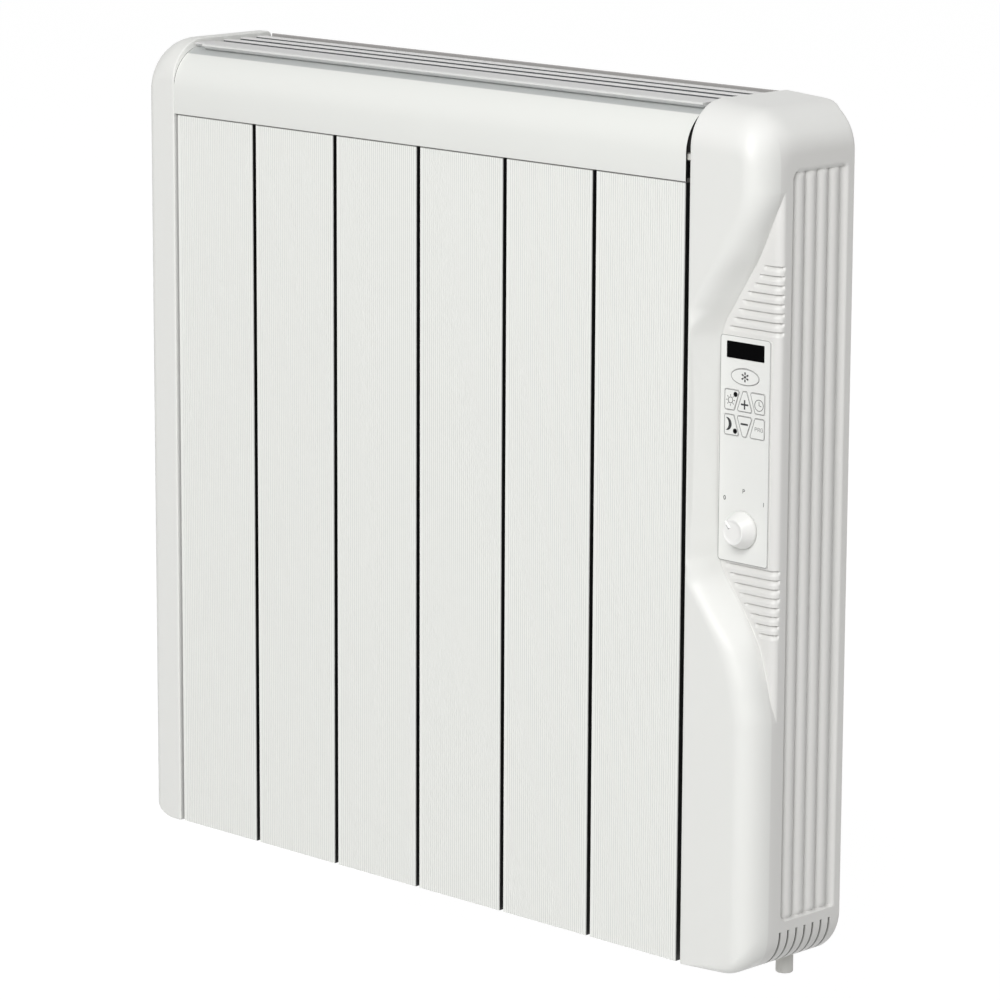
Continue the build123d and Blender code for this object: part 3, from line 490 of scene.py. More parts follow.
@dataclass(frozen=True)
class ShadedCoat(Finish):
    """A coat with bands of painted shade and painted light laid over it one after another, such as the black painted
    into the narrow gaps between elements where shade falls.
    """

    shades: tuple[Shade, ...] = ()

    def dress(self, net: Net, place: Socket, colour: Socket) -> Socket:
        """Mixes the coat towards each shade's tone inside its band."""
        apart = net.node("ShaderNodeSeparateXYZ", {0: place})
        for shade in self.shades:
            mask = net.band(apart.outputs[shade.axis], shade.start * MM, shade.end * MM, shade.soft * MM)
            colour = net.blend(mask, colour, (*shade.tone, 1.0))
        return colour


@dataclass(frozen=True)
class RimShade(Finish):
    """Cap plastic whose inner rim is painted black as shade where it lies under the hood's round."""

    round_y: ClassVar[float] = -71.5
    round_z: ClassVar[float] = 260.0
    radius: ClassVar[float] = 30.0
    radius_over: ClassVar[float] = 0.2
    radius_soft: ClassVar[float] = 0.3
    ahead_start: ClassVar[float] = 9.0
    ahead_soft: ClassVar[float] = 3.0
    above_start: ClassVar[float] = -2.0
    above_soft: ClassVar[float] = 6.0
    far: ClassVar[float] = 400.0
    dark: ClassVar[Colour] = (0.003, 0.003, 0.003)

    def dress(self, net: Net, place: Socket, colour: Socket) -> Socket:
        """Paints shade: mixes to black inside the round and ahead of and above its middle."""
        apart = net.node("ShaderNodeSeparateXYZ", {0: place})
        ahead = net.sums("SUBTRACT", self.round_y * MM, apart.outputs["Y"])
        above = net.sums("SUBTRACT", apart.outputs["Z"], self.round_z * MM)
        ahead_only, above_only = net.sums("MAXIMUM", ahead, 0.0), net.sums("MAXIMUM", above, 0.0)
        square = net.sums("MULTIPLY", above_only, above_only)
        away = net.sums("SQRT", net.sums("MULTIPLY_ADD", ahead_only, ahead_only, square))
        bands = ((away, -1.0, self.radius + self.radius_over, self.radius_soft),
                 (ahead, self.ahead_start, self.far, self.ahead_soft),
                 (above, self.above_start, self.far, self.above_soft))
        masks = [net.band(value, start * MM, end * MM, soft * MM) for value, start, end, soft in bands]
        mask = net.sums("MULTIPLY", net.sums("MULTIPLY", masks[0], masks[1]), masks[2])
        return net.blend(mask, colour, (*self.dark, 1.0))


@dataclass(frozen=True)
class SlotShade(Finish):
    """Walls of the air slots: plastic at the skin, painted black as shade behind it, by distance from the lower edge's
    ellipse.
    """

    middle_x: ClassVar[float] = 288.3
    middle_z: ClassVar[float] = -263.0
    half_x: ClassVar[float] = 26.0
    half_z: ClassVar[float] = 27.0
    skin: ClassVar[float] = 0.965
    skin_soft: ClassVar[float] = 0.03
    dark: ClassVar[Colour] = (0.010, 0.010, 0.010)

    def dress(self, net: Net, place: Socket, colour: Socket) -> Socket:
        """Paints shade: mixes to black where the ellipse's own measure of distance is under the skin's."""
        apart = net.node("ShaderNodeSeparateXYZ", {0: place})
        ellipse = (("X", self.middle_x, self.half_x), ("Z", self.middle_z, self.half_z))
        across, along = (net.sums("MULTIPLY_ADD", apart.outputs[axis], 1.0 / (half * MM), -middle / half)
                         for axis, middle, half in ellipse)
        below = net.sums("MINIMUM", along, 0.0)
        square = net.sums("MULTIPLY", below, below)
        away = net.sums("SQRT", net.sums("MULTIPLY_ADD", across, across, square))
        return net.blend(net.band(away, -1.0, self.skin, self.skin_soft), colour, (*self.dark, 1.0))


POWDER = {"roughness": 0.42, "spread": 0.05, "grain": 2200.0, "wave": 300.0, "bump": 0.06, "bump_depth": 0.00003}
ELEMENT = {**POWDER, "roughness": 0.46, "spread": 0.04, "bump": 0.04}
MOULDED = {"roughness": 0.46, "spread": 0.06, "grain": 2600.0, "wave": 40.0, "drift": 6.0, "bump": 0.10,
           "bump_depth": 0.00003}
POWDER_COAT = Finish("powder_coat", (0.800, 0.808, 0.775), (0.785, 0.793, 0.762), **POWDER)
# Painted shade on the elements: the reeds' valleys darker, the side faces black in the narrow gaps, a dark painted
# shadow band just under the hood's lower edge, and dark grey over the elements' tops under the grille.
ELEMENT_PAINTED_SHADE_COAT = ShadedCoat("element_painted_shade_coat", (0.824, 0.832, 0.800), (0.810, 0.818, 0.788), **ELEMENT, shades=(
    Shade("Y", -99.98, -60.0, 0.30, (0.53, 0.54, 0.52)), Shade("Y", -99.62, -88.0, 0.45, (0.002, 0.002, 0.002)),
    Shade("Z", 240.6, 244.0, 0.5, (0.20, 0.20, 0.19)), Shade("Z", 262.0, 300.0, 3.0, (0.30, 0.30, 0.29))))
# Painted shade on the hood: its right end face black, as the shade in the gap to the right cap, and a painted shadow
# band over the top of its round, under the grille's lip.
HOOD_PAINTED_SHADE_COAT = ShadedCoat("hood_painted_shade_coat", (0.780, 0.788, 0.758), (0.768, 0.776, 0.748), **POWDER, shades=(
    Shade("X", 249.15, 260.0, 0.05, (0.004, 0.004, 0.004)), Shade("Z", 284.7, 300.0, 0.5, (0.47, 0.485, 0.48))))
# Painted shade on the louvre blades: near-black below just under their tops, as the shade in the gaps between the
# blades.
GRILLE_PAINTED_SHADE_COAT = ShadedCoat("grille_painted_shade_coat", (0.72, 0.715, 0.705), (0.70, 0.695, 0.685), **POWDER, shades=(
    Shade("Z", 200.0, 292.0, 0.25, (0.07, 0.075, 0.08)),))
# The rear rail's coat is dark grey all over: painted shade, as the rail sits in shade behind the blades.
RAIL_PAINTED_SHADE_COAT = Finish("rail_painted_shade_coat", (0.42, 0.405, 0.395), (0.40, 0.39, 0.38), roughness=0.5, grain=2200.0, wave=300.0)
# Painted light and shade on the lip: its flat top darker than its nose, and everything just below the top, the nose's
# underside too, painted lighter to lift its shade.
LIP_PAINTED_LIGHT_COAT = ShadedCoat("lip_painted_light_coat", (0.69, 0.695, 0.68), (0.67, 0.675, 0.66), **POWDER, shades=(
    Shade("Y", -85.0, -60.0, 1.5, (0.61, 0.605, 0.60)), Shade("Z", 200.0, 291.2, 0.2, (0.74, 0.745, 0.74))))
CAP_PLASTIC = Finish("cap_plastic", (0.768, 0.771, 0.747), (0.759, 0.762, 0.738), **MOULDED)
# Painted shade and light on the right cap: darker on the recess floor and over the outer side face, and lighter again
# over the top from Z 262 up.
CONTROL_CAP_PAINTED_LIGHT_PLASTIC = ShadedCoat(
    "control_cap_painted_light_plastic", (0.755, 0.758, 0.734), (0.746, 0.749, 0.725), **MOULDED, shades=(
        Shade("Y", -82.2, 60.0, 1.2, (0.682, 0.677, 0.658)), Shade("Z", 262.0, 400.0, 14.0, (0.775, 0.776, 0.755))))
# The cap's open-side rim, painted black as shade under the hood's round.
CAP_RIM_PAINTED_SHADE = RimShade("cap_rim_painted_shade", (0.787, 0.790, 0.765), (0.776, 0.779, 0.755), roughness=0.4, grain=2600.0, wave=40.0)
# The air slots' walls, painted black as shade behind the skin.
SLOT_WALL_PAINTED_SHADE = SlotShade("slot_wall_painted_shade", (0.62, 0.62, 0.60), (0.60, 0.60, 0.58), roughness=0.5, grain=2600.0, wave=40.0)
FASCIA_FOIL = Finish("fascia_foil", (0.755, 0.760, 0.737), (0.746, 0.751, 0.729), roughness=0.40, grain=3200.0,
                     wave=150.0, bump=0.08, bump_depth=0.00002)
KEY_FOIL = Finish("key_foil", (0.765, 0.770, 0.747), (0.756, 0.761, 0.739), roughness=0.38, grain=3600.0, wave=200.0,
                  bump=0.10, bump_depth=0.00002)
KNOB_PLASTIC = Finish("knob_plastic", (0.805, 0.803, 0.785), (0.795, 0.793, 0.775), roughness=0.30, spread=0.05,
                      grain=3000.0, wave=120.0, bump=0.06, bump_depth=0.00002, coat=0.10)
POINTER_PLASTIC = Finish("pointer_plastic", (0.93, 0.93, 0.92), (0.91, 0.91, 0.90), roughness=0.4, grain=3000.0)
PRINT_GREY = Finish("print_grey", (0.15, 0.15, 0.15), (0.12, 0.12, 0.12), roughness=0.5, grain=6000.0)
# Pale grey print; also the painted shadow lines round the fascia's edge and beside the knob's pointer.
PRINT_PALE_AND_PAINTED_SHADOW = Finish("print_pale_and_painted_shadow", (0.34, 0.34, 0.335), (0.30, 0.30, 0.295), roughness=0.5, grain=6000.0)
PRINT_BLACK = Finish("print_black", (0.015, 0.015, 0.017), (0.022, 0.022, 0.024), roughness=0.5, grain=6000.0)
SLOT_FINISH: dict[str, Finish] = {
    "powder_coat": POWDER_COAT,
    "cap_plastic": CAP_PLASTIC,
    "fascia_foil": FASCIA_FOIL,
    "key_foil": KEY_FOIL,
    "knob_plastic": KNOB_PLASTIC,
    "display_lens": Finish("display_lens", (0.0018, 0.0018, 0.002), (0.0026, 0.0026, 0.003), roughness=0.2, spread=0.04,
                           grain=800.0, wave=60.0, bump=0.02, bump_depth=0.00002, specular=0.01),
    "lamp_lens": Finish("lamp_lens", (0.004, 0.004, 0.004), (0.006, 0.006, 0.006), roughness=0.3, specular=0.03),
    "raw_steel": Finish("zinc_steel", (0.56, 0.57, 0.58), (0.46, 0.47, 0.48), roughness=0.38, metallic=1.0,
                        fleck=210.0, drift=30.0),
    "black_steel": Finish("black_steel", (0.012, 0.012, 0.013), (0.02, 0.02, 0.021), roughness=0.6, drift=30.0),
    "bracket_steel": Finish("bracket_coat", (0.74, 0.745, 0.73), (0.72, 0.725, 0.71), roughness=0.5, grain=1300.0),
    "rod_steel": Finish("rod_steel", (0.42, 0.42, 0.42), (0.34, 0.335, 0.33), roughness=0.42, metallic=1.0,
                        fleck=320.0, drift=50.0),
    "board_laminate": Finish("board_laminate", (0.03, 0.17, 0.08), (0.025, 0.14, 0.07), roughness=0.4, drift=60.0),
    "component_plastic": Finish("component_plastic", (0.03, 0.03, 0.033), (0.045, 0.045, 0.048), roughness=0.5,
                                drift=60.0),
    "insulator": Finish("insulator", (0.62, 0.61, 0.56), (0.58, 0.57, 0.52), roughness=0.5, drift=40.0),
    "lead_sheath": Finish("lead_sheath", (0.22, 0.03, 0.025), (0.18, 0.025, 0.02), roughness=0.55, drift=50.0),
    "gland_plastic": Finish("gland_nylon", (0.66, 0.655, 0.62), (0.61, 0.605, 0.575), roughness=0.5, drift=40.0),
}


# ---------------------------------------------------------------- shared places


@dataclass(frozen=True)
class Body:
    """Main planes of the radiator, as the frame has them."""

    front_y: float = -100.0
    cap_front_y: float = -102.0
    cap_back_y: float = -4.0
    foot_z: float = -290.0
    top_z: float = 295.0


BODY = Body()
BODY_NAME = "radiator"


def dress_and_ride(piece: Piece, finishes: Sequence[Finish], body: str, slot: str, *stands_for: str) -> None:
    """Gives a finished piece its materials and its body, and hides the nodes that it stands for.

    Args:
        piece: The new object.
        finishes: One for each of its material slots.
        body: The frame's body that it rides on.
        slot: The record's material slot; not used.
        *stands_for: CAD nodes that it replaces.
    """
    for finish in finishes:
        piece.data.materials.append(finish.material())
    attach(piece, body)
    if stands_for:
        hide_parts(*stands_for)
    LOG.info("%s: %d faces on %s", piece.name, len(piece.data.polygons), body)


# ---------------------------------------------------------------- end caps


@dataclass
class EndCap:
    """A moulded end cap: sections in (Y, Z) that draw in towards the outer face by quarter ellipses."""

    finish: ClassVar[Finish] = CAP_PLASTIC
    name: str = "left_cover"
    node: str = "left_end_cap"
    outer_x: float = -280.8
    inner_x: float = -249.3
    edge_reach: float = 24.0
    edge_depth: float = 24.0
    front_reach: float = 10.0
    front_depth: float = 16.0
    front_power: float = 2.0
    top_fall: float = 0.0
    low_round: float = 0.6
    least_round: float = 0.6
    top_round: float = 30.0
    rear_round: float = 4.0
    mouth_round: float = 0.9
    columns: int = 34
    mouth_count: int = 6
    arc_rows: int = 22
    depth_columns: int = 12
    front_span: tuple[float, float] = (-262.0, 240.0)
    front_count: int = 30
    mouth_straight: float = 5.0

    @property
    def width(self) -> float:
        """Width from the open side to the outer face."""
        return abs(self.inner_x - self.outer_x)

    def front_rows(self) -> Grid:
        """Heights of the rows on the upright part of the front, fine where it has detail."""
        return np.linspace(*self.front_span, self.front_count)

    def coarse(self, heights: Grid) -> Grid:
        """Which of those rows the side and the back use too."""
        return np.ones(heights.shape, bool)

    def mouth_columns(self) -> Grid:
        """Column distances on the round that leads into the open side, the last one left out."""
        return self.width - self.mouth_round * turn_spacing(self.mouth_count)[::-1][:-1]

    def distances(self, rows: Grid) -> Grid:
        """Each row's column distances from the outer face, crowded towards it and towards the mouth."""
        line = np.concatenate([self.mouth_columns(), (self.width - self.mouth_round) * turn_spacing(self.columns)])
        return np.broadcast_to(line, (rows.shape[0], line.shape[0])).copy()

    def limits(self, distance: Grid) -> dict[str, Grid]:
        """Front, back, low and high edges and corner radii of the section at a distance from the outer face."""
        front = self.front_depth * quarter_round(1.0 - distance / self.front_reach, self.front_power)
        mouth = self.mouth_round * quarter_round(1.0 - (self.width - distance) / self.mouth_round)
        front = front + mouth
        edge = self.edge_depth * quarter_round(1.0 - distance / self.edge_reach) + mouth
        grown = 1.0 - np.clip(distance / (self.width - self.mouth_straight), 0.0, 1.0)
        return {
            "y0": BODY.cap_front_y + front,
            "y1": BODY.cap_back_y - np.minimum(edge, self.rear_round),
            "z0": BODY.foot_z + edge,
            "z1": BODY.top_z - edge - self.top_fall * np.maximum(self.width - distance, 0.0),
            "low": between((self.least_round, self.low_round), grown),
            "high": np.maximum(self.top_round - front / 2.0, self.least_round),
        }

    def front_sheet(self) -> tuple[Grid, Grid, Grid]:
        """The front with its lower and upper rounds.

        Returns:
            The points of (rows, columns, 3), the distances of (rows, columns), and which rows are coarse.
        """
        heights = self.front_rows()
        turn = np.linspace(0.0, np.pi / 2, self.arc_rows)
        sine, cosine = (1.0 - np.sin(turn))[:, None], (1.0 - np.cos(turn))[:, None]
        arc = np.full(self.arc_rows, np.nan)
        rows = np.concatenate([arc, heights, arc])
        distance = self.distances(rows)
        edge = self.limits(distance)
        points = np.empty((*distance.shape, 3))
        points[..., 0] = self.outer_x + np.sign(self.inner_x - self.outer_x) * distance
        high_start = rows.shape[0] - self.arc_rows
        low, middle, high = slice(0, self.arc_rows), slice(self.arc_rows, high_start), slice(high_start, None)
        points[middle, :, 1] = edge["y0"][middle]
        points[middle, :, 2] = heights[:, None]
        points[low, :, 1] = edge["y0"][low] + edge["low"][low] * sine
        points[low, :, 2] = edge["z0"][low] + edge["low"][low] * cosine
        points[high, :, 1] = edge["y0"][high] + edge["high"][high] * cosine
        points[high, :, 2] = edge["z1"][high] - edge["high"][high] * sine
        ends = np.ones(self.arc_rows, bool)
        return points, distance, np.concatenate([ends, self.coarse(heights), ends])

    def back_points(self, front: Grid, distance: Grid) -> Grid:
        """The rear line that faces each point of the front at the same height."""
        edge = self.limits(distance)
        radius, height = self.rear_round, front[..., 2]
        over = np.maximum(height - (edge["z1"] - radius), edge["z0"] + radius - height)
        drop = radius - np.sqrt(np.clip(radius * radius - np.clip(over, 0.0, radius) ** 2, 0.0, None))
        back = front.copy()
        back[..., 1] = edge["y1"] - drop
        return back

    def shape_front(self, points: Grid, distance: Grid) -> Grid:
        """Detail on the front; a plain cap has none."""
        return points

    def side_share(self) -> Grid:
        """Shares of the depth at which the outer face has columns."""
        return np.linspace(0.0, 1.0, self.depth_columns)

    def shape_side(self, points: Grid) -> Grid:
        """Detail on the outer face; a plain cap has none."""
        return points

    def build(self) -> Piece:
        """The cap as one closed mesh."""
        maker = MeshMaker()
        plain, distance, coarse = self.front_sheet()
        back = self.back_points(plain, distance)
        front = self.shape_front(plain, distance)
        maker.sheet(front)
        maker.sheet(back[coarse])
        share = self.side_share()[None, :, None]
        for row in (0, -1):
            maker.sheet(front[row][:, None] * (1.0 - share) + back[row][:, None] * share)
        outer_front, outer_back = front[:, -1], back[:, -1]
        side = outer_front[coarse][:, None] * (1.0 - share) + outer_back[coarse][:, None] * share
        side = self.shape_side(side)
        maker.sheet(side[:, 1:])
        chosen = np.flatnonzero(coarse)
        for place, (start, end) in enumerate(zip(chosen[:-1], chosen[1:])):
            maker.face(np.concatenate([outer_front[start:end + 1], side[place + 1, 1:2], side[place, 1:2]]))
        inside = share[0, 1:-1]
        top = front[-1, :1] * (1.0 - inside) + back[-1, :1] * inside
        foot = back[0, :1] * inside[::-1] + front[0, :1] * (1.0 - inside[::-1])
        # The open side's face takes the rim's finish, painted black as shade under the hood's round.
        maker.face(np.concatenate([front[:, 0], top, back[coarse][::-1, 0], foot]), slot=1)
        return maker.build(self.name)

    def place(self) -> None:
        """Builds the cap and dresses it: outside, rim of the open side painted black as shade, and slot walls painted
        black as shade behind the skin.
        """
        dress_and_ride(self.build(), (self.finish, CAP_RIM_PAINTED_SHADE, SLOT_WALL_PAINTED_SHADE), BODY_NAME, "cap_plastic", self.node)


@dataclass
class ControlCap(EndCap):
    """The right cap, with the control recess, its grooves, the fluted side and the air slots.

    Pairs of the recess's wall say its value beside the panel and at the recess's two ends.
    """

    finish: ClassVar[Finish] = CONTROL_CAP_PAINTED_LIGHT_PLASTIC
    name: str = "right_cover"
    node: str = "right_end_cap"
    outer_x: float = 314.3
    inner_x: float = 253.0
    mouth_round: float = 1.2
    edge_reach: float = 26.0
    edge_depth: float = 27.0
    front_reach: float = 18.0
    front_depth: float = 26.0
    front_power: float = 2.3
    top_fall: float = 0.07
    low_round: float = 12.0
    columns: int = 40
    floor_columns: int = 32
    floor_depth: float = 21.2
    rim_reach: float = 6.6
    wall_reach: tuple[float, float] = (10.8, 13.0)
    wall_knee: tuple[float, float] = (1.4, 7.5)
    wall_foot: tuple[float, float] = (0.5, 0.9)
    wall_merge: tuple[float, float] = (2.0, 30.0)
    join_round: float = 5.0
    join_merge: float = 24.0
    panel_middle_z: float = 66.3
    panel_half: tuple[float, float] = (79.5, 94.0)
    crease_z: tuple[float, ...] = (-116.0, -110.0, -101.0, -87.5, -75.0, -64.5, -51.3, -35.1, -19.0, -9.0, 2.0,
                                   130.0, 140.0, 148.0, 164.0, 178.2, 196.3, 210.8, 223.8, 232.0, 239.0)
    crease_x: tuple[float, ...] = (314.3, 313.3, 311.2, 308.3, 304.6, 300.9, 293.1, 281.6, 269.5, 265.0, 264.4,
                                   264.4, 264.9, 267.3, 276.8, 285.9, 297.2, 304.0, 309.6, 312.6, 314.3)
    groove_pitch: float = 6.18
    groove_low_z: float = -13.5
    groove_high_z: float = 146.1
    groove_low_x: tuple[float, ...] = (271.6, 275.7, 280.1, 284.5, 288.9, 293.3, 297.7, 301.2)
    groove_high_x: tuple[float, ...] = (272.1, 275.6, 279.9, 283.4, 287.7, 292.9, 297.2, 300.7)
    groove_depth: float = 2.1
    groove_rim: float = 1.1
    groove_wall: float = 0.5
    groove_slope: float = 3.3
    groove_bow: float = 1.3
    groove_end: tuple[float, float] = (1.6, 1.9)
    field_y: tuple[float, float] = (-69.5, -16.5)
    field_z: tuple[float, float] = (-255.0, 252.0)
    field_half_y: float = 30.0
    field_fade: tuple[float, float] = (3.2, 3.0)
    field_depth: float = 3.3
    field_corner: float = 6.0
    field_wall: float = 0.9
    rib_middles: tuple[float, ...] = (-60.5, -48.8, -37.1, -25.4)
    rib_width: float = 11.5
    rib_height: float = 3.1
    rib_power: float = 0.8
    rib_end: tuple[float, float] = (5.0, 4.6)
    slot_middles: tuple[float, ...] = (-69.5, -61.05, -52.6, -44.15, -35.7, -27.25, -18.8)
    slot_width: float = 2.3
    slot_z: tuple[float, float] = (-300.0, -262.0)
    slot_reach: float = 24.0
    slot_past: float = 4.0
    slot_near: float = 0.1
    mouth_fade: tuple[float, float] = (0.3, 2.0)
    foot_grow: float = 8.0
    groove_fade: tuple[float, float] = (1.1, 0.1)
    groove_edge: float = 3.0
    rim_steepest: float = 0.9995
    row_spans: tuple[tuple[float, float, float], ...] = (
        (-250.0, -236.0, 1.0), (-236.0, -120.0, 7.0), (-120.0, -62.0, 1.0), (-62.0, -9.0, 0.3), (-9.0, 142.0, 4.5),
        (142.0, 196.0, 0.3), (196.0, 242.0, 1.0), (242.0, 246.5, 1.1))
    coarse_span: tuple[float, float, float] = (-230.0, 236.0, 14.0)
    coarse_fine: tuple[float, float] = (-235.0, 236.0)
    side_edge: tuple[float, float] = (2.5, 4.5)
    side_fine: tuple[float, float, float] = (-0.6, 7.0, 0.5)

    def crease(self, height: Grid) -> Grid:
        """Distance of the recess's left crease from the outer face at each height, by a smooth line."""
        known, place = np.array(self.crease_z), self.outer_x - np.array(self.crease_x)
        slope = np.gradient(place, known)
        found = np.clip(np.searchsorted(known, height) - 1, 0, known.shape[0] - 2)
        span = known[found + 1] - known[found]
        t = np.clip((height - known[found]) / span, 0.0, 1.0)
        rise = (place[found] * (1 + 2 * t) * (1 - t) ** 2 + slope[found] * span * t * (1 - t) ** 2
                + place[found + 1] * t * t * (3 - 2 * t) + slope[found + 1] * span * t * t * (t - 1))
        inside = (height > known[0]) & (height < known[-1])
        return np.where(inside, np.maximum(rise, 0.0), 0.0)

    def front_rows(self) -> Grid:
        """Rows close together at the grooves and the recess's ends."""
        return np.unique(np.round(np.concatenate([np.arange(*span) for span in self.row_spans]), 3))

    def coarse(self, heights: Grid) -> Grid:
        """Rows for the side and the back: all near the ends, few along the middle."""
        steps = np.arange(*self.coarse_span)
        keep = (heights < self.coarse_fine[0]) | (heights > self.coarse_fine[1])
        keep[np.abs(heights[None] - steps[:, None]).argmin(1)] = True
        return keep

    def distances(self, rows: Grid) -> Grid:
        """Columns that follow the crease: one group left of it and one from it to the outer face."""
        crease = np.where(np.isnan(rows), 0.0, self.crease(np.nan_to_num(rows)))[:, None]
        line = self.mouth_columns()
        mouth = np.broadcast_to(line, (rows.shape[0], line.shape[0]))
        left = crease + (self.width - self.mouth_round - crease) * turn_spacing(self.columns)[None]
        share = np.linspace(0.0, 1.0, self.floor_columns)[1:]
        right = crease * (1.0 - share * share * (3.0 - 2.0 * share))[None]
        return np.concatenate([mouth, left, right], axis=1)

    def floor(self, distance: Grid) -> Grid:
        """Depth of the recess floor, whose outer edge is a quarter ellipse."""
        return between((self.floor_depth, self.front_depth), quarter_round(1.0 - distance / self.rim_reach))

    def groove(self, x: Grid, z: Grid) -> Grid:
        """Depth of the grooves: a steep upper wall and a long lower one, round at the left end."""
        depth = np.zeros_like(x)
        inset, reach = self.groove_end
        for first_z, step, starts in ((self.groove_low_z, -1.0, self.groove_low_x),
                                      (self.groove_high_z, 1.0, self.groove_high_x)):
            for place, start in enumerate(starts):
                rise = z - (first_z + step * self.groove_pitch * place)
                below = np.clip((self.groove_rim - self.groove_wall - rise) / self.groove_slope, 0.0, 1.0)
                wall = np.clip((self.groove_rim - rise) / self.groove_wall, 0.0, 1.0)
                end = np.sqrt(np.clip(1.0 - (np.maximum(start + inset - x, 0.0) / reach) ** 2, 0.0, 1.0))
                depth = np.maximum(depth, self.groove_depth * wall * (1.0 - below) ** self.groove_bow * end)
        return depth

    def wall(self, distance: Grid, crease: Grid, beyond: Grid) -> Grid:
        """Share of its depth that the recess's left wall has reached: a soft knee, then straight to the crease.

        Args:
            distance: From the outer face.
            crease: The crease's own distance.
            beyond: 0 beside the panel and 1 at the recess's ends.

        Returns:
            1 at the crease, and 0 where the wall starts and in the cap's mouth.
        """
        knee, reach = between(self.wall_knee, beyond), between(self.wall_reach, beyond)
        into = reach - (distance - crease)
        bent = np.where(into > knee, into, np.clip(into + knee, 0.0, None) ** 2 / (4.0 * knee)) / reach
        return bent * smooth_step(self.width - distance, *self.mouth_fade)

    def shape_front(self, points: Grid, distance: Grid) -> Grid:
        """Sinks the recess and its grooves into the front."""
        height = points[..., 2]
        crease = self.crease(height)
        beyond = smooth_step(np.abs(height - self.panel_middle_z), *self.panel_half)
        fillet = between(self.wall_foot, beyond) * smooth_step(crease, 0.0, self.foot_grow)
        wall = self.wall(distance, crease, beyond)
        plain_round = quarter_round(1.0 - (distance - crease) / self.front_reach, self.front_power)
        merged = plain_round + (wall - plain_round) * smooth_step(crease, *self.wall_merge)
        inner = distance <= crease + TINY
        rise = fillet * quarter_round(1.0 - (crease - distance) / np.maximum(fillet, LEAST))
        depth = np.where(inner, self.floor(distance) - rise, (self.floor(crease) - fillet) * merged)
        recessed = crease > HAIR
        depth = np.where(recessed, depth, 0.0)
        shaped = points.copy()
        plain = points[..., 1] - BODY.cap_front_y
        room = np.minimum(self.join_round, np.minimum(plain, depth)) * smooth_step(crease, 0.0, self.join_merge)
        room = np.maximum(room * (1.0 - inner), HAIR)
        blend = np.clip(room - np.abs(plain - depth), 0.0, None) ** 2 / (4.0 * room)
        shaped[..., 1] = BODY.cap_front_y + np.maximum(plain, depth) + blend
        share = np.clip(1.0 - distance / self.rim_reach, 0.0, self.rim_steepest)
        slope = (self.front_depth - self.floor_depth) / self.rim_reach * share / np.sqrt(1.0 - share * share)
        fade = 1.0 - smooth_step(depth, *(self.front_depth - before for before in self.groove_fade))
        edge = smooth_step(crease - distance, 0.0, self.groove_edge)
        push = self.groove(points[..., 0], height) * fade * edge * inner * recessed
        length = np.sqrt(1.0 + slope * slope)
        shaped[..., 0] -= push * slope / length
        shaped[..., 1] += push / length
        return shaped

    def side_share(self) -> Grid:
        """Columns close together on the ribs and at the field's borders."""
        y0, y1 = BODY.cap_front_y + self.front_depth, BODY.cap_back_y - self.rear_round
        first, last, step = self.side_fine
        fine = np.arange(self.field_y[0] + first, self.field_y[1] + last, step)
        edges = np.concatenate([[y0], y0 + np.array(self.side_edge), fine, [y1]])
        return (np.unique(edges) - y0) / (y1 - y0)

    def shape_side(self, points: Grid) -> Grid:
        """Sinks the fluted field: a soft-walled rounded field with ribs whose section is nearly half an ellipse."""
        y, z = points[..., 1], points[..., 2]
        mid_z, half_z = sum(self.field_z) / 2.0, (self.field_z[1] - self.field_z[0]) / 2.0
        over_z = np.abs(z - mid_z) - half_z
        qy = np.abs(y - self.field_half_y - self.field_y[0]) - self.field_half_y + self.field_corner
        qz = over_z + self.field_corner
        away = np.hypot(np.maximum(qy, 0.0), np.maximum(qz, 0.0)) + np.minimum(np.maximum(qy, qz), 0.0)
        depth = self.field_depth * smooth_step(self.field_corner - away, 0.0, self.field_wall)
        before, after = self.field_fade
        depth = depth * (1.0 - smooth_step(y, self.field_y[1] - before, self.field_y[1] + after))
        rib = np.zeros_like(y)
        for middle in self.rib_middles:
            bow = np.clip(1.0 - (2.0 * (y - middle) / self.rib_width) ** 2, 0.0, 1.0) ** self.rib_power
            rib = np.maximum(rib, bow)
        inset, reach = self.rib_end
        end = np.sqrt(np.clip(1.0 - np.clip((over_z + inset) / reach, 0.0, 1.0) ** 2, 0.0, 1.0))
        shaped = points.copy()
        shaped[..., 0] -= np.maximum(depth - self.rib_height * rib * end, 0.0)
        return shaped

    def slot_cutter(self) -> Piece:
        """Seven thin blocks that cut the air slots round the lower edge."""
        maker = MeshMaker()
        half, (low, top) = self.slot_width / 2.0, self.slot_z
        for middle in self.slot_middles:
            section = np.array([(middle - half, low), (middle + half, low), (middle + half, top), (middle - half, top)])
            prism(maker, section, 0, self.outer_x - self.slot_reach, self.outer_x + self.slot_past)
        return maker.build("slot_cutter", weld=False)

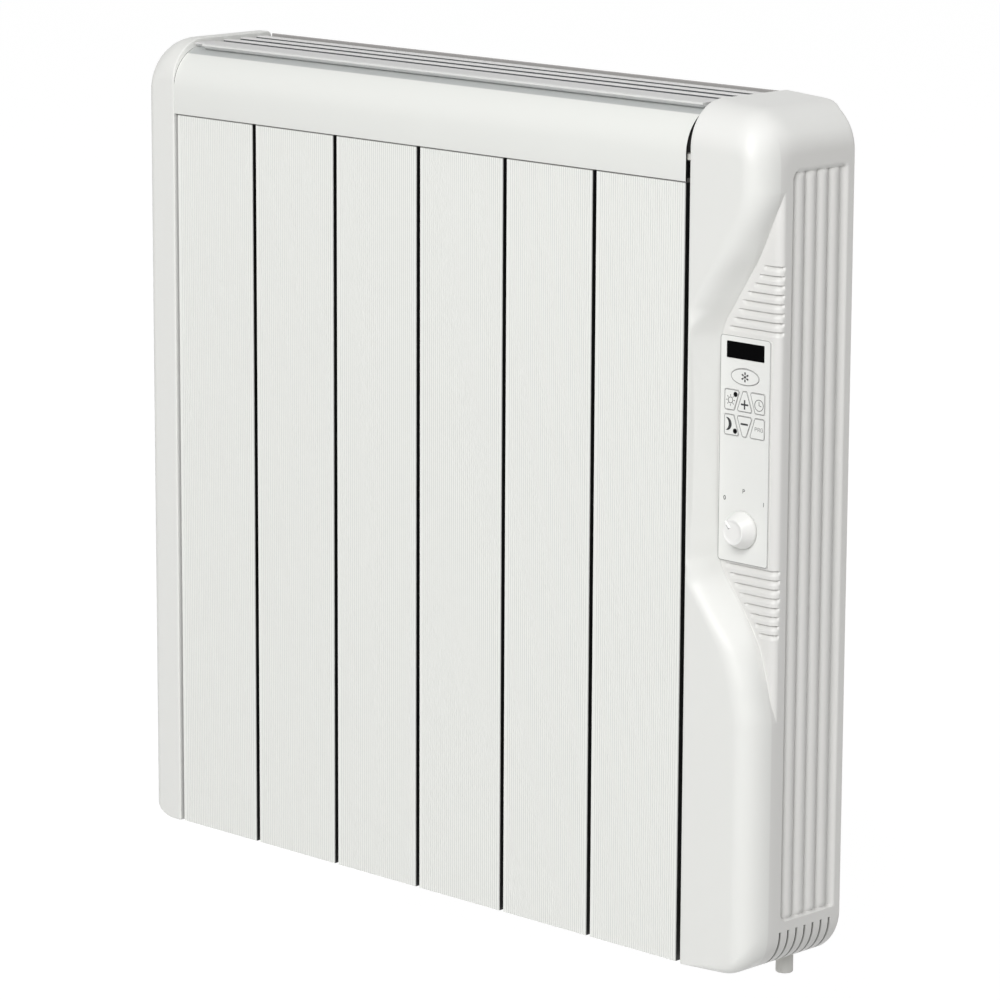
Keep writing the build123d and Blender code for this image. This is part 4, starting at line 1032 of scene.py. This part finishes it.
    def build(self) -> Piece:
        """The cap with its slots cut, whose walls take the third material slot, painted black as shade behind the skin.
        """
        cap = super().build()
        cutter = self.slot_cutter()
        cut = cap.modifiers.new("air_slots", "BOOLEAN")
        cut.operation, cut.solver, cut.object = "DIFFERENCE", "EXACT", cutter
        done = bpy.data.meshes.new_from_object(cap.evaluated_get(bpy.context.evaluated_depsgraph_get()))
        cap.modifiers.clear()
        cap.data = done
        cap.data.name = self.name
        bpy.data.objects.remove(cutter)
        count = len(done.polygons)
        middle, normal = np.empty(count * 3), np.empty(count * 3)
        done.polygons.foreach_get("center", middle)
        done.polygons.foreach_get("normal", normal)
        middle, normal = middle.reshape(-1, 3) / MM, normal.reshape(-1, 3)
        past_slot = np.abs(middle[:, 1, None] - np.array(self.slot_middles)[None]).min(1) - self.slot_width / 2.0
        wall = (past_slot < self.slot_near / 2.0) & (middle[:, 2] < self.slot_z[1] + self.slot_near)
        wall &= middle[:, 0] > self.outer_x - self.slot_reach - self.slot_near
        wall &= (np.abs(normal[:, 1]) > 0.99) | (normal[:, 0] > 0.999)
        slots = np.empty(count, np.int32)
        done.polygons.foreach_get("material_index", slots)
        # Slot walls take the third slot, whose finish paints black shade behind the skin.
        done.polygons.foreach_set("material_index", np.where(wall, 2, slots).astype(np.int32))
        smooth_mesh(done)
        return cap


# ---------------------------------------------------------------- hood and grille


@dataclass
class Hood:
    """Sheet cover over the elements' tops: upright, then a large round."""

    left_x: float = -249.0
    right_x: float = 249.2
    front_y: float = -101.5
    low_z: float = 242.0
    arc_z: float = 260.0
    radius: float = 30.0
    sheet: float = 1.2
    reach: float = 24.5
    soft: float = 0.35

    def section(self) -> Grid:
        """The sheet's (Y, Z) outline: outer arc out, inner arc back, with a softened lower edge."""
        centre_y, soft = self.front_y + self.radius, self.soft
        turn = np.linspace(np.pi, np.arccos((self.reach - self.radius) / self.radius), 40)
        arcs = [np.stack([centre_y + r * np.cos(turn), self.arc_z + r * np.sin(turn)], -1)
                for r in (self.radius, self.radius - self.sheet)]
        low = np.array([(self.front_y + self.sheet, self.low_z), (self.front_y + soft, self.low_z),
                        (self.front_y + soft * 0.3, self.low_z + soft * 0.3), (self.front_y, self.low_z + soft)])
        return np.concatenate([arcs[0], arcs[1][::-1], low])

    def place(self) -> None:
        """Builds the hood and dresses it."""
        maker = MeshMaker()
        prism(maker, self.section(), 0, self.left_x, self.right_x)
        dress_and_ride(maker.build("hood"), (HOOD_PAINTED_SHADE_COAT,), BODY_NAME, "powder_coat", "top_hood")


@dataclass
class Grille:
    """Top outlet: a front lip, three louvre blades and a rear rail, all bars along X."""

    left_x: float = -247.3
    right_x: float = 250.6
    notch_x: float = -234.5
    notch_cut: float = 5.5
    top_z: float = 292.6
    lip_y: tuple[float, float] = (12.5, 36.5)
    lip_drop: float = 10.0
    nose_depth: float = 5.0
    nose_drop: float = 4.0
    nose_edge: tuple[float, float] = (0.8, 1.2)
    nose_inner: float = 6.2
    gauge: float = 1.6
    blade_middles: tuple[float, ...] = (-50.3, -33.5, -17.5)
    blade_width: float = 7.5
    blade_height: float = 10.0
    sheet: float = 1.2
    rail_rise: float = 0.8
    rail_height: float = 28.0
    rail_foot: float = 12.0

    def lip_section(self, cut: float = 0.0) -> Grid:
        """Lip: an undercut nose, a flat top and a flange that turns down at the rear; cut shortens the nose."""
        top, y0, y1 = self.top_z, BODY.front_y + self.lip_y[0] + cut, BODY.front_y + self.lip_y[1]
        low, under, inner, g = top - self.lip_drop, top - self.nose_drop, y0 + self.nose_inner, self.gauge
        edge_y, edge_z = self.nose_edge
        return rounded_path([(y0 + self.nose_depth, under, 0.1), (y0, top - edge_z, 0.3), (y0 + edge_y, top, 0.5),
                             (y1, top, 1.0), (y1, low, 0.2), (y1 - g, low, 0.2), (y1 - g, top - g, 0.3),
                             (inner, top - g, 0.1), (inner, under, 0.1)])

    def blade_section(self, middle: float) -> Grid:
        """Blade: a channel that opens downwards, with round shoulders."""
        y0, y1 = middle - self.blade_width / 2.0, middle + self.blade_width / 2.0
        top, low, s = self.top_z, self.top_z - self.blade_height, self.sheet
        return rounded_path([(y0, low, 0.2), (y0, top, 1.5), (y1, top, 1.5), (y1, low, 0.2), (y1 - s, low, 0.2),
                             (y1 - s, top - s, 0.4), (y0 + s, top - s, 0.4), (y0 + s, low, 0.2)])

    def rail_section(self) -> Grid:
        """Rear rail: an angle with its foot turned to the front."""
        top, back = self.top_z + self.rail_rise, BODY.cap_back_y
        inner, low = back - self.gauge, self.top_z + self.rail_rise - self.rail_height
        foot = inner - self.rail_foot
        return rounded_path([(foot, low, 0.2), (back, low, 0.6), (back, top, 0.5), (inner, top, 0.5),
                             (inner, low + self.gauge, 0.6), (foot, low + self.gauge, 0.2)])

    def place(self) -> None:
        """Builds every bar and dresses it."""
        bars = [("grille_front_lip", "grille_lip", self.lip_section(), LIP_PAINTED_LIGHT_COAT),
                ("grille_rear_rail", "grille_back_rail", self.rail_section(), RAIL_PAINTED_SHADE_COAT)]
        bars += [(f"louvre_{number}", f"grille_blade_{number}", self.blade_section(middle), GRILLE_PAINTED_SHADE_COAT)
                 for number, middle in enumerate(self.blade_middles, 1)]
        for name, node, section, coat in bars:
            maker = MeshMaker()
            notched = coat is LIP_PAINTED_LIGHT_COAT
            prism(maker, section, 0, self.notch_x if notched else self.left_x, self.right_x)
            if notched:
                prism(maker, self.lip_section(self.notch_cut), 0, self.left_x, self.notch_x - 0.05)
            dress_and_ride(maker.build(name), (coat,), BODY_NAME, "powder_coat", node)


# ---------------------------------------------------------------- controls


@dataclass
class ControlPanel:
    """Print on the fascia and the keys, and a painted shadow line round the fascia's edge."""

    middle_x: float = 286.4
    middle_z: float = 65.0
    fascia_y: float = -82.0
    key_y: float = -82.2
    fascia_half: tuple[float, float] = (21.5, 75.8)
    fascia_corner: float = 2.0
    frost_z: float = 114.5
    frost_half: tuple[float, float] = (12.2, 5.5)
    half_field: float = 17.5
    upper_z: float = 98.1
    lower_z: float = 81.3
    half_key: float = 6.9
    key_round: float = 1.2
    side_key: tuple[float, float] = (8.5, 13.0)
    arrow_half: tuple[float, float] = (1.8, 6.8)
    line: float = 0.5
    frost_dot: float = 0.95
    frost_arm: tuple[float, float] = (1.5, 3.3)
    frost_line: float = 1.1
    sun_shift: tuple[float, float] = (5.2, -0.3)
    sun_radius: float = 2.0
    sun_ray: tuple[float, float] = (2.7, 3.8)
    moon_shift: tuple[float, float] = (3.0, 0.3)
    sign_arm: float = 3.2
    sign_half: float = 0.58
    sign_line: float = 1.25
    plus_drop: float = 2.0
    minus_rise: float = 1.7
    clock_shift: tuple[float, float] = (-5.0, -0.9)
    clock_radius: float = 3.7
    rim_radius: float = 1.5
    rim_line: float = 0.55
    seam_shadow_line: float = 0.45
    zero_middle: tuple[float, float] = (270.0, 31.6)
    zero_half: tuple[float, float] = (0.75, 1.3)
    zero_line: float = 0.6
    word_line: float = 0.42
    lamp_places: ClassVar[dict[str, tuple[float, float]]] = {
        "key_comfort": (278.4, 102.0), "key_economy": (278.4, 77.4)}

    def key_outlines(self) -> dict[str, Grid]:
        """Outline of each key in (X, Z), drawn in by half the line's width."""
        left, right, mid = self.middle_x - self.half_field, self.middle_x + self.half_field, self.middle_x
        up, low, half = self.upper_z, self.lower_z, self.half_key
        (short, long), (tip, base) = self.side_key, self.arrow_half
        inset = self.line / 2.0

        def four(low_left: float, low_right: float, high_left: float, high_right: float, z: float) -> Grid:
            """A key with level top and bottom and round corners."""
            return rounded_path([(low_left + inset, z - half + inset, self.key_round),
                                 (low_right - inset, z - half + inset, self.key_round),
                                 (high_right - inset, z + half - inset, self.key_round),
                                 (high_left + inset, z + half - inset, self.key_round)])

        wide, tall = self.frost_half
        return {
            "key_frost": circle_points(mid, self.frost_z, wide - inset, 64, tall=tall - inset),
            "key_comfort": four(left, left + short, left, left + long, up),
            "key_economy": four(left, left + long, left, left + short, low),
            "key_plus": four(mid - base, mid + base, mid - tip, mid + tip, up),
            "key_minus": four(mid - tip, mid + tip, mid - base, mid + base, low),
            "key_clock": four(right - short, right, right - long, right, up),
            "key_program": four(right - long, right, right - short, right, low),
        }

    def draw(self, maker: MeshMaker, path: Sequence[tuple[float, float]] | Grid, width: float,
             closed: bool = False) -> None:
        """One printed line on a key's face."""
        ribbon(maker, np.array(path, float), width, self.key_y, closed)

    def fill(self, maker: MeshMaker, outline: Grid) -> None:
        """One printed area on a key's face."""
        prism(maker, outline, 1, self.key_y - PRINT_DEPTH, self.key_y)

    def rays(self, maker: MeshMaker, x: float, z: float, turns: Grid, reach: tuple[float, float], width: float) -> None:
        """Short lines away from a middle, at so many degrees."""
        for turn in np.radians(turns):
            way = np.array([np.cos(turn), np.sin(turn)])
            self.draw(maker, [(x + far * way[0], z + far * way[1]) for far in reach], width)

    def frost_icon(self, maker: MeshMaker) -> None:
        """Six short arms round a dot."""
        x, z = self.middle_x, self.frost_z
        self.fill(maker, circle_points(x, z, self.frost_dot, 16))
        self.rays(maker, x, z, np.arange(30.0, 390.0, 60.0), self.frost_arm, self.frost_line)

    def comfort_icon(self, maker: MeshMaker) -> None:
        """A ring with eight rays."""
        x, z = self.middle_x - self.half_field + self.sun_shift[0], self.upper_z + self.sun_shift[1]
        self.draw(maker, circle_points(x, z, self.sun_radius), self.line, closed=True)
        self.rays(maker, x, z, np.arange(0.0, 360.0, 45.0), self.sun_ray, self.rim_line)

    def economy_icon(self, maker: MeshMaker) -> None:
        """A crescent between two arcs."""
        x, z = self.middle_x - self.half_field + self.moon_shift[0], self.lower_z + self.moon_shift[1]
        outer = circle_points(x - 0.9, z, 4.4, 24, -100.0, 200.0)
        inner = circle_points(x - 4.0, z, 4.94, 24, 61.2, -122.4)
        self.fill(maker, np.concatenate([outer, inner]))

    def plus_icon(self, maker: MeshMaker) -> None:
        """A plus, as one arm's corners turned four times."""
        arm, half = self.sign_arm, self.sign_half
        corner = np.array([(arm, half), (half, half), (half, arm)])
        turns = np.arange(4) * np.pi / 2
        turned = [corner @ np.array([(np.cos(t), np.sin(t)), (-np.sin(t), np.cos(t))]) for t in turns]
        self.fill(maker, np.concatenate(turned) + np.array([self.middle_x, self.upper_z - self.plus_drop]))

    def minus_icon(self, maker: MeshMaker) -> None:
        """A minus."""
        x, z = self.middle_x, self.lower_z + self.minus_rise
        self.draw(maker, [(x - self.sign_arm, z), (x + self.sign_arm, z)], self.sign_line)

    def clock_icon(self, maker: MeshMaker) -> None:
        """A clock face with two hands."""
        x, z = self.middle_x + self.half_field + self.clock_shift[0], self.upper_z + self.clock_shift[1]
        self.draw(maker, circle_points(x, z, self.clock_radius, 48), self.line, closed=True)
        self.draw(maker, [(x, z + 2.6), (x, z), (x + 2.1, z - 0.5)], self.line)

    def program_letters(self, maker: MeshMaker) -> None:
        """The short word for the programme key, in plain strokes."""
        z0, z1 = self.lower_z - 1.6, self.lower_z + 0.9
        zm = (z0 + z1) / 2.0
        x = self.middle_x + self.half_field - 8.2
        bowl = [(0.0, z0), (0.0, z1), (1.2, z1), (1.6, z1 - .35), (1.6, zm + .25), (1.2, zm), (0.0, zm)]
        strokes = [[(x + across, z) for across, z in bowl], [(x + 2.5 + across, z) for across, z in bowl],
                   [(x + 3.3, zm), (x + 4.2, z0)],
                   [(x + 6.7, z1 - .45), (x + 6.2, z1), (x + 5.5, z1), (x + 5.0, z1 - .5), (x + 5.0, z0 + .5),
                    (x + 5.5, z0), (x + 6.2, z0), (x + 6.7, z0 + .5), (x + 6.7, zm), (x + 6.0, zm)]]
        for stroke in strokes:
            self.draw(maker, stroke, self.word_line)

    def dial_labels(self, maker: MeshMaker) -> None:
        """The dial's three places on the fascia: off, programme and on."""
        zero = circle_points(*self.zero_middle, self.zero_half[0], 24, tall=self.zero_half[1])
        ribbon(maker, zero, self.zero_line, self.fascia_y, closed=True)
        letter = [(285.9, 36.6), (285.9, 39.2), (287.0, 39.2), (287.5, 38.8), (287.5, 38.3), (287.0, 37.9),
                  (285.9, 37.9)]
        for stroke in (letter, [(304.1, 30.0), (304.1, 32.9)]):
            ribbon(maker, np.array(stroke), self.line, self.fascia_y)

    def place(self) -> None:
        """Prints each key on its own body, and on the radiator a painted shadow line round the fascia's edge and the
        dial's labels.
        """
        icons = {
            "key_frost": (self.frost_icon, PRINT_BLACK),
            "key_comfort": (self.comfort_icon, PRINT_GREY),
            "key_economy": (self.economy_icon, PRINT_BLACK),
            "key_plus": (self.plus_icon, PRINT_BLACK),
            "key_minus": (self.minus_icon, PRINT_BLACK),
            "key_clock": (self.clock_icon, PRINT_GREY),
            "key_program": (self.program_letters, PRINT_PALE_AND_PAINTED_SHADOW),
        }
        for name, outline in self.key_outlines().items():
            draw, finish = icons[name]
            border, icon = MeshMaker(), MeshMaker()
            self.draw(border, outline, self.line, closed=True)
            draw(icon)
            prints = [(border, "border", PRINT_PALE_AND_PAINTED_SHADOW), (icon, "icon", finish)]
            if name in self.lamp_places:
                rim = MeshMaker()
                self.draw(rim, circle_points(*self.lamp_places[name], self.rim_radius), self.rim_line, closed=True)
                prints.append((rim, "lamp_rim", PRINT_BLACK))
            for maker, title, coat in prints:
                dress_and_ride(maker.build(f"{name}_{title}"), (coat,), f"{name}_cap", "key_foil")
        # The grey line round the fascia's edge is painted shadow.
        seam_shadow, labels = MeshMaker(), MeshMaker()
        (half_x, half_z), corner = self.fascia_half, self.fascia_corner
        corners = [(self.middle_x + x * half_x, self.middle_z + z * half_z, corner)
                   for x, z in ((-1, -1), (1, -1), (1, 1), (-1, 1))]
        ribbon(seam_shadow, rounded_path(corners), self.seam_shadow_line, self.fascia_y, closed=True)
        dress_and_ride(seam_shadow.build("fascia_edge_painted_shadow"), (PRINT_PALE_AND_PAINTED_SHADOW,), BODY_NAME, "fascia_foil")
        self.dial_labels(labels)
        dress_and_ride(labels.build("dial_labels"), (PRINT_GREY,), BODY_NAME, "fascia_foil")


@dataclass
class SelectorKnob:
    """Round knob whose side flares to a skirt, with a raised pointer on its face."""

    x: float = 286.4
    z: float = 12.0
    front_y: float = -93.0
    back_y: float = -82.3
    face_radius: float = 9.0
    face_depth: float = 0.9
    skirt_radius: float = 12.5
    skirt_depth: float = 2.0
    pointer_angle: float = 132.0
    shadow_offset: float = 1.45
    shadow_span: tuple[float, float] = (3.4, 7.0)
    shadow_line: float = 0.55
    shadow_sink: float = 0.55
    shadow_depth: float = 0.1
    pointer_sink: float = 0.5
    segments: int = 72

    def profile(self) -> Grid:
        """Radius and Y from the middle of the face to the middle of the back."""
        f, b, r = self.front_y, self.back_y, self.face_radius
        face = np.array([(0.0, f + 0.6), (5.0, f + 0.6), (7.2, f + 0.55), (7.6, f + 0.1), (8.0, f), (8.6, f + 0.12),
                         (8.9, f + 0.45), (9.05, f + self.face_depth)])
        share = np.linspace(0.12, 1.0, 8)
        side = np.stack([r + (self.skirt_radius - r) * share ** 0.9,
                         f + self.face_depth + (b - self.skirt_depth - f - self.face_depth) * share], -1)
        skirt = np.array([(self.skirt_radius, b - 1.0), (self.skirt_radius, b - 0.3), (12.2, b), (0.0, b)])
        return np.concatenate([face, side, skirt])

    def turned(self, profile: Grid) -> Grid:
        """The profile turned about Y, as a closed grid."""
        turn = np.linspace(0.0, 2.0 * np.pi, self.segments + 1)
        grid = np.empty((profile.shape[0], turn.shape[0], 3))
        grid[..., 0] = self.x + profile[:, None, 0] * np.cos(turn)[None]
        grid[..., 1] = profile[:, None, 1]
        grid[..., 2] = self.z + profile[:, None, 0] * np.sin(turn)[None]
        grid[:, -1] = grid[:, 0]
        return grid

    def place(self) -> None:
        """Builds the knob, its pointer and the thin painted shadow line beside the pointer."""
        knob, bar, line = MeshMaker(), MeshMaker(), MeshMaker()
        knob.sheet(self.turned(self.profile()))
        dress_and_ride(knob.build("knob", sharp=50.0), (KNOB_PLASTIC,), "selector", "knob_plastic", "selector_knob")
        angle = np.radians(self.pointer_angle)
        way, across = np.array([np.cos(angle), np.sin(angle)]), np.array([-np.sin(angle), np.cos(angle)])
        stations = np.array([3.2, 3.5, 8.7, 9.2])
        rise = np.array([0.0, 1.1, 1.1, 0.8])
        offsets = np.array([-0.65, -0.4, 0.4, 0.65])
        lift = np.array([0.0, 1.0, 1.0, 0.0])
        high = np.empty((4, 4, 3))
        flat = way[None, None] * stations[:, None, None] + across[None, None] * offsets[None, :, None]
        high[..., 0], high[..., 2] = self.x + flat[..., 0], self.z + flat[..., 1]
        high[..., 1] = self.front_y + self.pointer_sink - rise[:, None] * lift[None]
        low = high.copy()
        low[..., 1] = self.front_y + self.face_depth
        for grid in (high, low):
            bar.sheet(grid)
        for edge in ((0,), (-1,), (slice(None), 0), (slice(None), -1)):
            bar.sheet(np.stack([high[edge], low[edge]]))
        dress_and_ride(bar.build("knob_pointer"), (POINTER_PLASTIC,), "selector", "knob_plastic")
        # A thin grey line beside the pointer is painted shadow of the raised bar.
        ends = np.array([self.x, self.z]) + across * self.shadow_offset + way * np.array(self.shadow_span)[:, None]
        ribbon(line, ends, self.shadow_line, self.front_y + self.shadow_sink, depth=self.shadow_depth)
        dress_and_ride(line.build("knob_pointer_painted_shadow"), (PRINT_PALE_AND_PAINTED_SHADOW,), "selector", "knob_plastic")


# ---------------------------------------------------------------- carried-over nodes


@dataclass
class Carried:
    """Gives every node that the frame still shows its finish."""

    element_names: tuple[str, ...] = tuple(f"element_{number}" for number in range(1, 7))

    def place(self, frame: dict[str, object]) -> None:
        """Puts the finish of its record slot on each node."""
        slots = {row["node"]: row["material_slot"] for row in frame["record"]["subparts"]}
        for name, node in frame["nodes"].items():
            finish = ELEMENT_PAINTED_SHADE_COAT if name in self.element_names else SLOT_FINISH[slots[name]]
            node.data.materials.clear()
            node.data.materials.append(finish.material())
        LOG.info("dressed %d nodes of the frame", len(frame["nodes"]))


# ---------------------------------------------------------------- studio


@dataclass
class Studio:
    """Pale floor, soft lamps, white surroundings and the camera; a lamp has azimuth, elevation, metres and watts."""

    floor_z: float = -430.0
    floor_half: float = 9000.0
    floor_tone: float = 0.86
    floor_glow: float = 1.13
    floor_share: float = 0.85
    floor_roughness: float = 0.9
    floor_lines: int = 9
    sensor: float = 36.0
    clip: tuple[float, float] = (0.05, 60.0)
    camera_mm: tuple[float, float, float] = (2257.1, -2350.7, 660.4)
    yaw: float = 44.042
    pitch: float = 11.838
    roll: float = 0.273
    lens: float = 167.226
    ambient: float = 0.13
    aim: tuple[float, float, float] = (0.02, -0.05, 0.0)
    lamp_spread: float = 0.5
    lamps: tuple[tuple[str, float, float, float, float], ...] = (
        ("key_lamp", 22.0, 33.0, 8.0, 510.0),
        ("right_lamp", 90.0, 50.0, 4.0, 34.0),
        ("top_lamp", 0.0, 88.0, 3.0, 2.0),
    )

    def floor(self) -> None:
        """A level floor that looks almost white to the camera and keeps a share of the shadow."""
        maker = MeshMaker()
        span = np.linspace(-self.floor_half, self.floor_half, self.floor_lines)
        grid = np.empty((self.floor_lines, self.floor_lines, 3))
        grid[..., 0], grid[..., 1] = span[:, None], span[None]
        grid[..., 2] = self.floor_z
        maker.sheet(grid)
        piece = maker.build("studio_floor")
        made = bpy.data.materials.new("studio_floor")
        made.use_nodes = True
        net = Net(made.node_tree)
        shader = made.node_tree.nodes["Principled BSDF"]
        net.fill(shader, {"Base Color": (*[self.floor_tone] * 3, 1.0), "Roughness": self.floor_roughness})
        glow = net.node("ShaderNodeEmission", {"Strength": self.floor_glow})
        seen = net.sums("MULTIPLY", self.seen_rays(net), self.floor_share)
        mix = net.node("ShaderNodeMixShader", {0: seen, 1: shader.outputs[0], 2: glow.outputs[0]})
        net.fill(made.node_tree.nodes["Material Output"], {"Surface": mix.outputs[0]})
        piece.data.materials.append(made)

    @staticmethod
    def seen_rays(net: Net) -> Socket:
        """1 for camera, glossy and transmission rays."""
        path = net.node("ShaderNodeLightPath").outputs
        both = net.sums("MAXIMUM", path["Is Camera Ray"], path["Is Glossy Ray"])
        return net.sums("MAXIMUM", both, path["Is Transmission Ray"])

    def world(self) -> None:
        """White to the camera and in reflections, soft grey as light."""
        world = bpy.data.worlds.new("studio_world")
        world.use_nodes = True
        bpy.context.scene.world = world
        net = Net(world.node_tree)
        strength = net.sums("MULTIPLY_ADD", self.seen_rays(net), 1.0 - self.ambient, self.ambient)
        net.fill(world.node_tree.nodes["Background"], {"Color": (1.0, 1.0, 1.0, 1.0), "Strength": strength})

    @staticmethod
    def link(name: str, data: bpy.types.ID, turn: Grid, place: Grid) -> Piece:
        """Links a lamp or camera whose side, up and rear axes are the columns of turn, at a place in metres."""
        made = bpy.data.objects.new(name, data)
        bpy.context.scene.collection.objects.link(made)
        made.matrix_world = Matrix([(*row, along) for row, along in zip(turn, place)] + [(0, 0, 0, 1)])
        return made

    def lamp(self, name: str, place: Grid, size: float, power: float) -> None:
        """One square area lamp that faces the radiator, with its side in metres and its power in watts."""
        data = bpy.data.lights.new(name, "AREA")
        data.shape, data.size, data.energy = "SQUARE", size, power
        away = place - np.array(self.aim)
        away /= np.linalg.norm(away)
        side = np.cross((0.0, 0.0, 1.0), away)
        side /= np.linalg.norm(side)
        self.link(name, data, np.stack([side, np.cross(away, side), away], 1), place)

    def camera(self) -> None:
        """Long-lens camera at the photograph's angle, from its own three turns."""
        yaw, pitch, roll = np.radians([self.yaw, self.pitch, self.roll])
        ahead = np.array([-np.sin(yaw) * np.cos(pitch), np.cos(yaw) * np.cos(pitch), -np.sin(pitch)])
        level = np.array([np.cos(yaw), np.sin(yaw), 0.0])
        upright = np.cross(level, ahead)
        side = level * np.cos(roll) + upright * np.sin(roll)
        up = upright * np.cos(roll) - level * np.sin(roll)
        data = bpy.data.cameras.new("camera")
        data.sensor_width, data.lens = self.sensor, self.lens
        data.clip_start, data.clip_end = self.clip
        place = np.array(self.camera_mm) * MM
        bpy.context.scene.camera = self.link("camera", data, np.stack([side, up, -ahead], 1), place)

    def place(self) -> None:
        """Sets up the whole studio."""
        self.floor()
        self.world()
        for name, azimuth, elevation, distance, power in self.lamps:
            turn, rise = np.radians([azimuth, elevation])
            way = np.array([np.sin(turn) * np.cos(rise), -np.cos(turn) * np.cos(rise), np.sin(rise)])
            self.lamp(name, way * distance, self.lamp_spread * distance, power)
        self.camera()
        bpy.context.scene.view_settings.view_transform = "Standard"
        LOG.info("studio ready")


def main() -> None:
    """Loads the frame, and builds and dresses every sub-assembly."""
    logging.basicConfig(level=logging.INFO, format="%(name)s: %(message)s")
    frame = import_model()
    Carried().place(frame)
    EndCap().place()
    ControlCap().place()
    Hood().place()
    Grille().place()
    ControlPanel().place()
    SelectorKnob().place()
    Studio().place()


if __name__ == "__main__":
    main()
